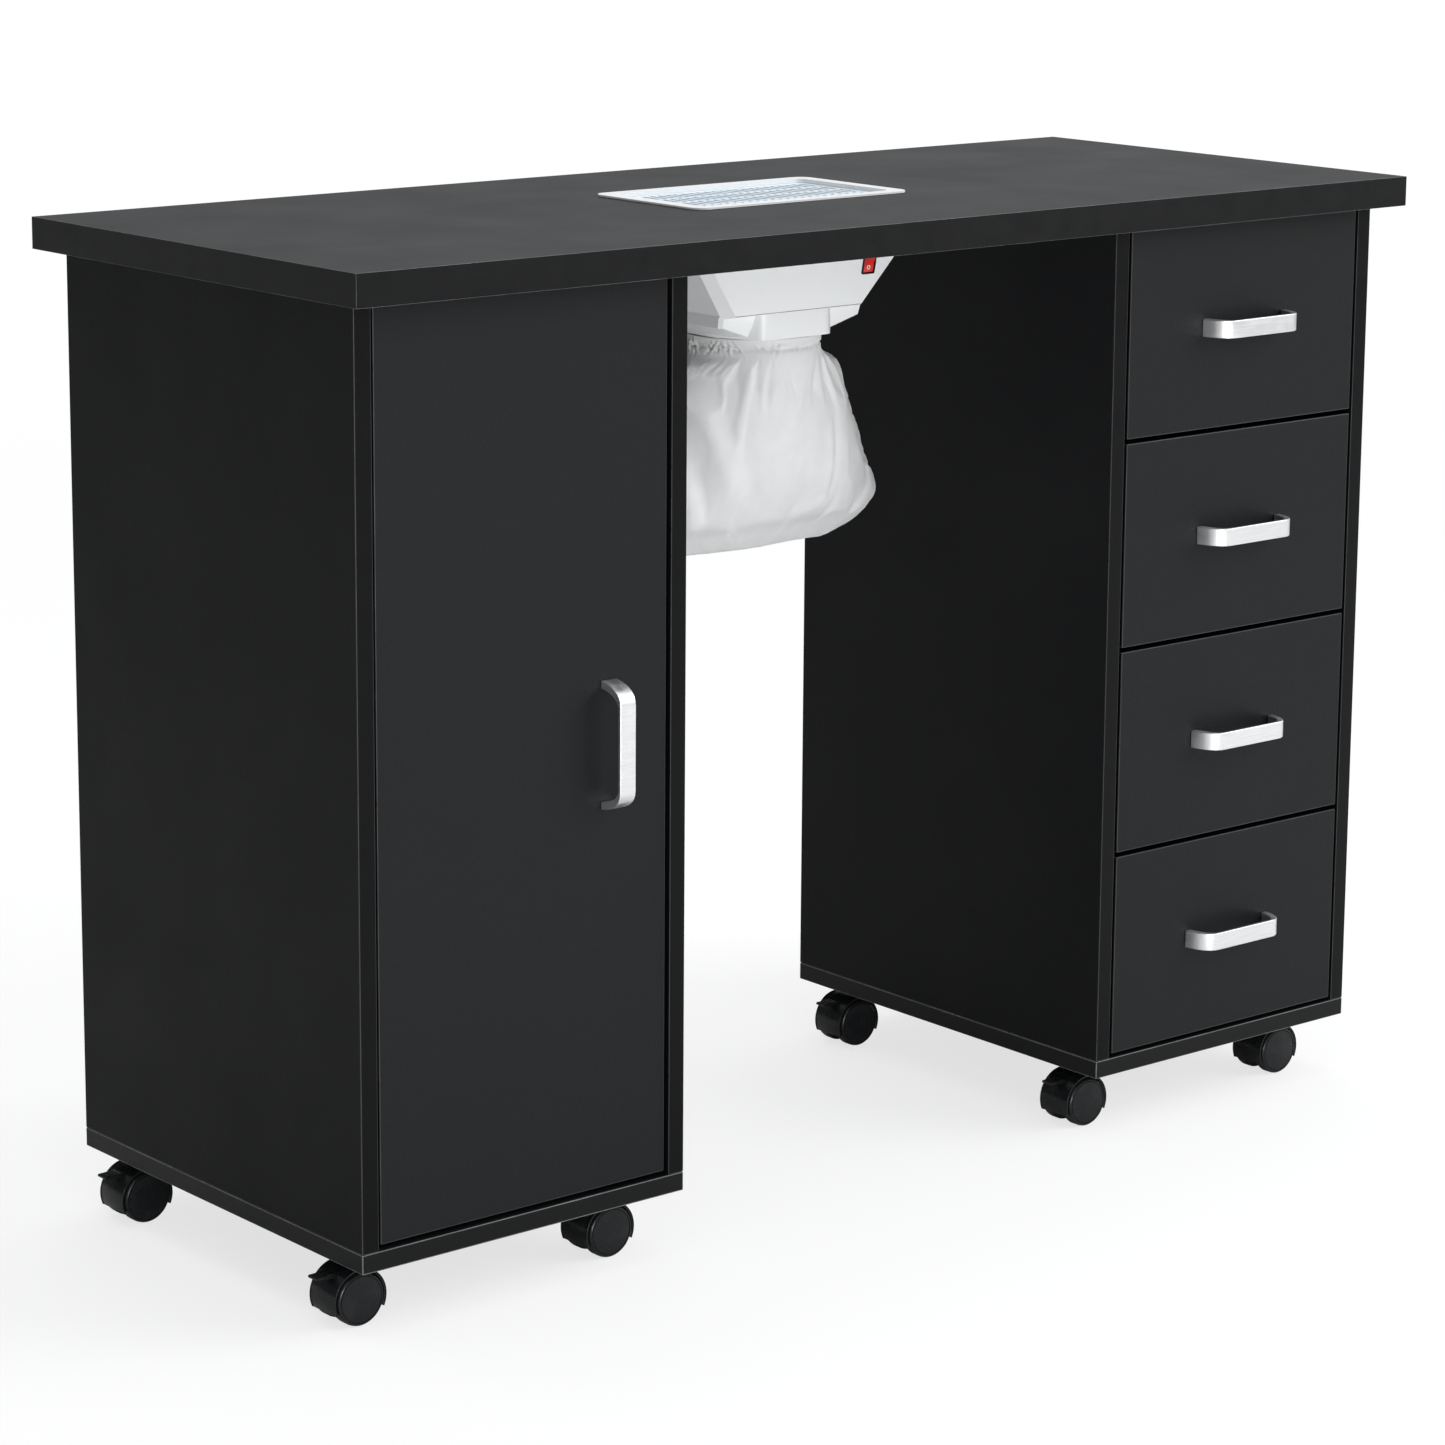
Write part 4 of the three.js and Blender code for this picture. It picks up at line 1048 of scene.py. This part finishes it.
def add_switch():
    """A black bezel round the rocker, and a plain ring printed on the rocker's lower half."""
    finish_node("dust_switch", "red", 0.5 * MM, segments=3)
    lean = math.atan2(WALL_RUN, WALL_RISE)
    upright = Matrix.Rotation(math.radians(90) + lean, 4, "X")
    outward = Matrix.Translation(joint_place("switch_rock")) @ upright
    outer = rounded_rectangle(BEZEL["width"], BEZEL["length"], BEZEL["corner"])
    inner = rounded_rectangle(BEZEL_INSIDE["width"], BEZEL_INSIDE["length"], BEZEL_INSIDE["corner"])
    top = Vector((0, 0, BEZEL["rise"]))
    bottom = Vector((0, 0, -BEZEL_INSIDE["depth"]))
    sections = []
    for (ox, oy), (ix, iy) in zip(outer, inner):
        wide = Vector((ox, oy, 0))
        tight = Vector((ix, iy, 0))
        across = (tight - wide).normalized()
        sections.append([
            wide, wide + BEZEL["shoulder"] * top, wide + across * BEZEL["chamfer"] + top,
            tight - across * BEZEL_INSIDE["chamfer"] + top, tight + BEZEL_INSIDE["shoulder"] * top,
            tight + bottom,
        ])
    bezel = moved(sweep("switch_bezel", sections, closed=True), outward)
    new_piece("switch_bezel", bezel, "bezel", "table")
    mark = [
        Vector((ROCKER_MARK["radius"] * math.cos(a), ROCKER_MARK["radius"] * math.sin(a), 0))
        for a in (2 * math.pi * i / 24 for i in range(24))
    ]
    low_half = Matrix.Translation((0, -ROCKER_MARK["below"], ROCKER_MARK["height"]))
    ring = moved(ring_tube("rocker_mark", mark, ROCKER_MARK["wire"], 6), outward @ low_half)
    new_piece("rocker_mark", ring, "ink", "switch")


# ---- dust bag ----
BAG = {"columns": 260, "rows": 92, "hem_rows": 8, "thickness": 0.3 * MM}
ROW_PITCH = 2.1 * MM  # between rows in the fabric's pattern
ROW_CROWDING = 0.85  # a power under 1 sets the rows closer together towards the foot
RING_POWER = (2.0, 1.55)  # of the superellipse at the elastic, and at the foot, where it is pointed
FOOT_FADE = 30 * MM  # waves and folds die out where the sides are closer to each other than twice this
ELASTIC = {"z": 680 * MM, "radius": 56.4 * MM, "groove": 1.8 * MM, "half_width": 1.8 * MM}
HEM = {"top": 688.2 * MM, "radius": 57.2 * MM}
SHOULDER = Vector((671.5 * MM, 60 * MM, 57 * MM))  # height and half sizes
FOOT = Vector((512 * MM, 86 * MM, 0.0))
# Creases pinched by the elastic. Most lie anywhere round the neck, and the rest bunch together at
# one side. The pairs are the least and the most of each.
CREASES = {"spread": 34, "bunched": 16, "bunch_at": math.radians(178), "bunch_half": math.radians(32)}
CREASE_REACH = (2.2 * MM, 6.0 * MM)
CREASE_WIDTH = (0.8 * MM, 1.4 * MM)
CREASE_DEPTH = (1.2 * MM, 3.0 * MM)
CREASE_SLANT = (-1.3, 1.0)
CREASE_REACHES = 2  # a crease ends this many times its reach from the elastic
CREASE_WIDTHS = 4  # and this many widths from its middle
CREASE_SHOULDER = {"share": 0.7, "at": 1.6}
SHOULDER_WAVES = {"per_metre": (26, 26, 9), "depth": 1.4 * MM, "start": 8 * MM, "reach": 45 * MM}
# Folds on each broad side, in mm: from (x, z) to (x, z), depth, half width.
FOLDS = (
    ((-84, 658), (-36, 548), 3.2, 9),
    ((-7, 662), (3, 636), 1.2, 2.6),
    ((-27, 650), (-28, 626), 0.9, 2.6),
    ((-3, 627), (10, 641), 0.8, 2.6),
    ((54, 618), (58, 548), 1.6, 4),
    ((18, 543), (66, 553), 1.5, 4),
    ((-100, 600), (-70, 530), 2.0, 7),
    ((96, 596), (120, 566), 1.4, 5),
)
# The cloth hangs freely from this far below the elastic, and no point of it moves further than the
# cap.
FREE_BELOW = 14 * MM
MOVE_CAP = 5 * MM
STEPS = 20
CLOTH = {
    "quality": 6,
    "mass": 0.06,
    "tension_stiffness": 12,
    "compression_stiffness": 10,
    "shear_stiffness": 6,
    "bending_stiffness": 2,
    "vertex_group_mass": "held",
    "use_pressure": True,
    "uniform_pressure_force": 0.1,
    "shrink_min": -0.03,
}
HANGING_WEIGHT = 0.2  # share of gravity
# Welded dots: inset in columns of the cloth, radius, rise and spacing. Stiffness is how far the
# simulation holds the seams, within so many columns.
SEAM = {"inset": 4, "dot": 0.6 * MM, "rise": 0.08 * MM, "pitch": 3.2 * MM, "stiffness": 0.75, "columns": 3}
# Fine crumples: full from this far below the elastic, a slanted swell, and ridges over it.
CRUMPLE_BELOW = 25 * MM
SWELL = {"per_metre": (16, 16, 12), "slant": 9, "depth": 1.3 * MM}
RIDGES = {"per_metre": 33, "offset": (3.1, 0.7, 5.2), "slope": 2.2, "from": 0.55, "depth": 0.55 * MM}


def bag_rings():
    """Centre of the bag, and its height and half sizes at each ring of its CAD solid below the
    elastic, with the foot drawn to a line."""
    levels = {}
    for vertex in NODES["dust_bag"].data.vertices:
        levels.setdefault(round(vertex.co.z, 4), []).append(vertex.co)
    low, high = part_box("dust_bag")
    centre = (low + high) / 2
    rings = []
    for z in sorted(levels, reverse=True):
        half_x = max(abs(p.x - centre.x) for p in levels[z])
        half_y = max(abs(p.y - centre.y) for p in levels[z])
        rings.append(Vector((z, half_x, half_y)))
    elastic = Vector((ELASTIC["z"], ELASTIC["radius"], ELASTIC["radius"]))
    return centre, [elastic, SHOULDER, *rings[1:], FOOT]


def along_rings(rings, share):
    """A smooth curve through the rings, from the first at 0 to the last at 1."""
    at = share * (len(rings) - 1)
    i = min(int(at), len(rings) - 2)
    t = at - i
    p0, p1 = rings[max(i - 1, 0)], rings[i]
    p2, p3 = rings[i + 1], rings[min(i + 2, len(rings) - 1)]
    place = 0.5 * (
        2 * p1 + (p2 - p0) * t + (2 * p0 - 5 * p1 + 4 * p2 - p3) * t**2
        + (3 * p1 - p0 - 3 * p2 + p3) * t**3
    )
    if i >= len(rings) - 4:
        place.y = p1.y + (p2.y - p1.y) * t  # straight side edges, with corners
    return place


def even_ring(half_x, half_y, power, count):
    """Evenly spaced points round a superellipse, from +X, each with its outward direction."""
    dense = []
    dense_count = 8 * count
    for i in range(dense_count + 1):
        angle = 2 * math.pi * i / dense_count
        c, s = math.cos(angle), math.sin(angle)
        x = half_x * math.copysign(abs(c) ** (2 / power), c)
        dense.append(Vector((x, half_y * math.copysign(abs(s) ** (2 / power), s), 0)))
    walked = [0.0]
    for a, b in zip(dense, dense[1:]):
        walked.append(walked[-1] + (b - a).length)
    points = []
    at = 0
    for i in range(count):
        goal = walked[-1] * i / count
        while walked[at + 1] < goal:
            at += 1
        share = (goal - walked[at]) / (walked[at + 1] - walked[at])
        points.append(dense[at].lerp(dense[at + 1], share))
    outward = []
    for i, point in enumerate(points):
        along = points[(i + 1) % count] - points[i - 1]
        outward.append(Vector((along.y, -along.x, 0)).normalized())
    return list(zip(points, outward))


def neck_creases():
    """Angle, reach, width, depth and slant of each crease at the elastic."""
    draw = random.Random(11)
    angles = [
        2 * math.pi * (i + draw.uniform(-0.4, 0.4)) / CREASES["spread"] for i in range(CREASES["spread"])
    ]
    angles += [
        CREASES["bunch_at"] + draw.uniform(-1, 1) * CREASES["bunch_half"] for _ in range(CREASES["bunched"])
    ]
    ranges = (CREASE_REACH, CREASE_WIDTH, CREASE_DEPTH, CREASE_SLANT)
    return [(angle, *(draw.uniform(*limits) for limits in ranges)) for angle in angles]


def bump(distance):
    """A bell curve: 1 at no distance, and almost nothing from 2 on."""
    return math.exp(-(distance**2))


def crease_push(creases, angle, rise):
    """How far the creases push the cloth out at an angle, at a height over the elastic."""
    push = 0.0
    for at, reach, width, depth, slant in creases:
        if abs(rise) > CREASE_REACHES * reach:
            continue
        turn = math.remainder(angle - at, 2 * math.pi)
        across = (turn * ELASTIC["radius"] - slant * rise) / width
        if abs(across) < CREASE_WIDTHS:
            fade = bump(rise / reach)
            # A valley between two lower shoulders.
            shoulder = CREASE_SHOULDER["share"] * bump(abs(across) - CREASE_SHOULDER["at"])
            push += depth * fade * (shoulder - bump(across))
    return push


def fold_push(x, z):
    """How far the folds push the cloth out at a place on a broad side."""
    push = 0.0
    here = Vector((x, z)) / MM
    for start, end, depth, half_width in FOLDS:
        start, along = Vector(start), Vector(end) - Vector(start)
        share = (here - start).dot(along) / along.length_squared
        if not 0 < share < 1:
            continue
        beside = (here - start).cross(along) / along.length / half_width
        push += depth * MM * beside * math.exp((1 - beside**2) / 2) * math.sqrt(math.sin(math.pi * share))
    return push


def bag_mesh():
    """The bag as it is sewn and hung: a hem, the gathered elastic, and a body that ends in a
    straight seam. Its rows run from the hem down."""
    centre, rings = bag_rings()
    creases = neck_creases()
    columns = BAG["columns"]
    shape = bmesh.new()
    cloth = shape.loops.layers.uv.new("cloth")
    rows = []
    for row in range(-BAG["hem_rows"], BAG["rows"] + 1):
        share = max(0, row) / BAG["rows"]
        rise = max(0, -row) / BAG["hem_rows"]
        z, half_x, half_y = along_rings(rings, share**ROW_CROWDING)
        z += (HEM["top"] - ELASTIC["z"]) * rise
        below = max(0.0, ELASTIC["z"] - z)
        from_elastic = z - ELASTIC["z"]
        swell = (HEM["radius"] - ELASTIC["radius"]) * math.sqrt(rise)
        swell -= ELASTIC["groove"] * bump(from_elastic / ELASTIC["half_width"])
        flat = min(1.0, half_y / FOOT_FADE)
        begun = 1 - math.exp(-below / SHOULDER_WAVES["start"])
        wave_depth = flat * SHOULDER_WAVES["depth"] * begun * math.exp(-below / SHOULDER_WAVES["reach"])
        power = RING_POWER[0] + (RING_POWER[1] - RING_POWER[0]) * share
        line = []
        for column, (point, outward) in enumerate(even_ring(half_x, half_y, power, columns)):
            angle = 2 * math.pi * column / columns
            out = swell + crease_push(creases, angle, from_elastic)
            stretched = (point + Vector((0, 0, z))) * Vector(SHOULDER_WAVES["per_metre"])
            out += wave_depth * noise.noise(stretched)
            if row > 0 and half_y > 0:
                side = -1 if outward.y < 0 else 1
                out += min(1, abs(outward.y) * 2) * flat * fold_push(-side * point.x, z)
            line.append(shape.verts.new(centre.xy.to_3d() + point + out * outward + Vector((0, 0, z))))
        rows.append(line)
    girth = 4 * max(r.y for r in rings)
    for r in range(len(rows) - 1):
        for column in range(columns):
            after = (column + 1) % columns
            face = shape.faces.new((rows[r][column], rows[r + 1][column], rows[r + 1][after], rows[r][after]))
            for loop, (k, line) in zip(face.loops, ((0, r), (0, r + 1), (1, r + 1), (1, r))):
                loop[cloth].uv = ((column + k) / columns * girth, -line * ROW_PITCH)
    bmesh.ops.remove_doubles(shape, verts=rows[-1], dist=0.05 * MM)
    mesh = bpy.data.meshes.new("bag_cloth")
    shape.to_mesh(mesh)
    shape.free()
    mesh.shade_smooth()
    return mesh


def hang_bag(bag):
    """Cloth simulation of the hanging bag. The hem and the elastic hold still."""
    sewn = [v.co.copy() for v in bag.data.vertices]
    held = bag.vertex_groups.new(name="held")
    columns = BAG["columns"]
    for index, point in enumerate(sewn):
        slack = min(1.0, max(0.0, (ELASTIC["z"] - point.z) / FREE_BELOW))
        column = index % columns
        from_seam = min(column, columns - column, abs(column - columns // 2))
        stiff = SEAM["stiffness"] * max(0, 1 - from_seam / SEAM["columns"])
        held.add([index], max(1.0 - slack, stiff), "REPLACE")
    cloth = bag.modifiers.new("cloth", "CLOTH")
    for key, value in CLOTH.items():
        setattr(cloth.settings, key, value)
    cloth.settings.effector_weights.gravity = HANGING_WEIGHT
    cloth.collision_settings.use_collision = False
    scene = bpy.context.scene
    for step in range(1, STEPS + 1):
        scene.frame_set(step)
    shown = bag.evaluated_get(bpy.context.evaluated_depsgraph_get())
    hung = [v.co.copy() for v in shown.data.vertices]
    bag.modifiers.remove(cloth)
    scene.frame_set(1)
    for vertex, start, end in zip(bag.data.vertices, sewn, hung):
        move = end - start
        if move.length > MOVE_CAP:
            move *= MOVE_CAP / move.length
        vertex.co = start + move


def crease_bag(bag):
    """Fine crumples of stiff fabric."""
    normals = [v.normal.copy() for v in bag.data.vertices]
    for vertex, normal in zip(bag.data.vertices, normals):
        share = min(1.0, max(0.0, (ELASTIC["z"] - vertex.co.z) / CRUMPLE_BELOW))
        slanted = vertex.co * Vector(SWELL["per_metre"])
        slanted.x += vertex.co.z * SWELL["slant"]
        swell = SWELL["depth"] * noise.noise(slanted)
        ragged = noise.noise(vertex.co * RIDGES["per_metre"] + Vector(RIDGES["offset"]))
        ridge = 1 - abs(ragged) * RIDGES["slope"]
        push = swell + RIDGES["depth"] * max(0.0, ridge - RIDGES["from"])
        vertex.co += normal * share * push


def weld_dots(bag):
    """The rows of welded dots that close the bag along both sides, on the front and the back."""
    columns = BAG["columns"]
    radius, rise = SEAM["dot"], SEAM["rise"]
    profile = [
        (0.0, -rise), (radius, -rise), (radius, 0.2 * rise), (0.6 * radius, rise), (0.0, rise),
    ]
    dot = lathe("weld_dot", profile, 8)
    inset = SEAM["inset"]
    dots = []
    for column in (inset, columns // 2 - inset, columns // 2 + inset, columns - inset):
        since = SEAM["pitch"]
        previous = None
        for row in range(BAG["hem_rows"] + 4, BAG["rows"] + BAG["hem_rows"] - 1):
            vertex = bag.data.vertices[row * columns + column]
            if previous:
                since += (vertex.co - previous).length
            previous = vertex.co
            if since >= SEAM["pitch"]:
                since = 0.0
                turn = vertex.normal.to_track_quat("Z", "Y").to_matrix().to_4x4()
                dots.append(moved(dot.copy(), Matrix.Translation(vertex.co) @ turn))
    return joined("bag_weld_dots", *dots)


def add_bag():
    bag = new_piece("bag_cloth", bag_mesh(), "fabric", "table", ["dust_bag"])
    hang_bag(bag)
    crease_bag(bag)
    dots = new_piece("bag_weld_dots", weld_dots(bag), "thread", "table")
    thickness = bag.modifiers.new("thickness", "SOLIDIFY")
    thickness.thickness = BAG["thickness"]
    thickness.offset = -1


bpy.context.scene.view_settings.view_transform = "Standard"
add_camera()
add_world()
add_floor()
for softbox, setup in SOFTBOXES.items():
    add_softbox(softbox, *setup)
finish_boards()
finish_handles()
add_handle_screws()
add_hinge_cups()
add_drawer_slides()
add_shelf_pins()
add_cam_caps()
add_casters()
add_vent()
add_housing()
add_switch()
add_bag()
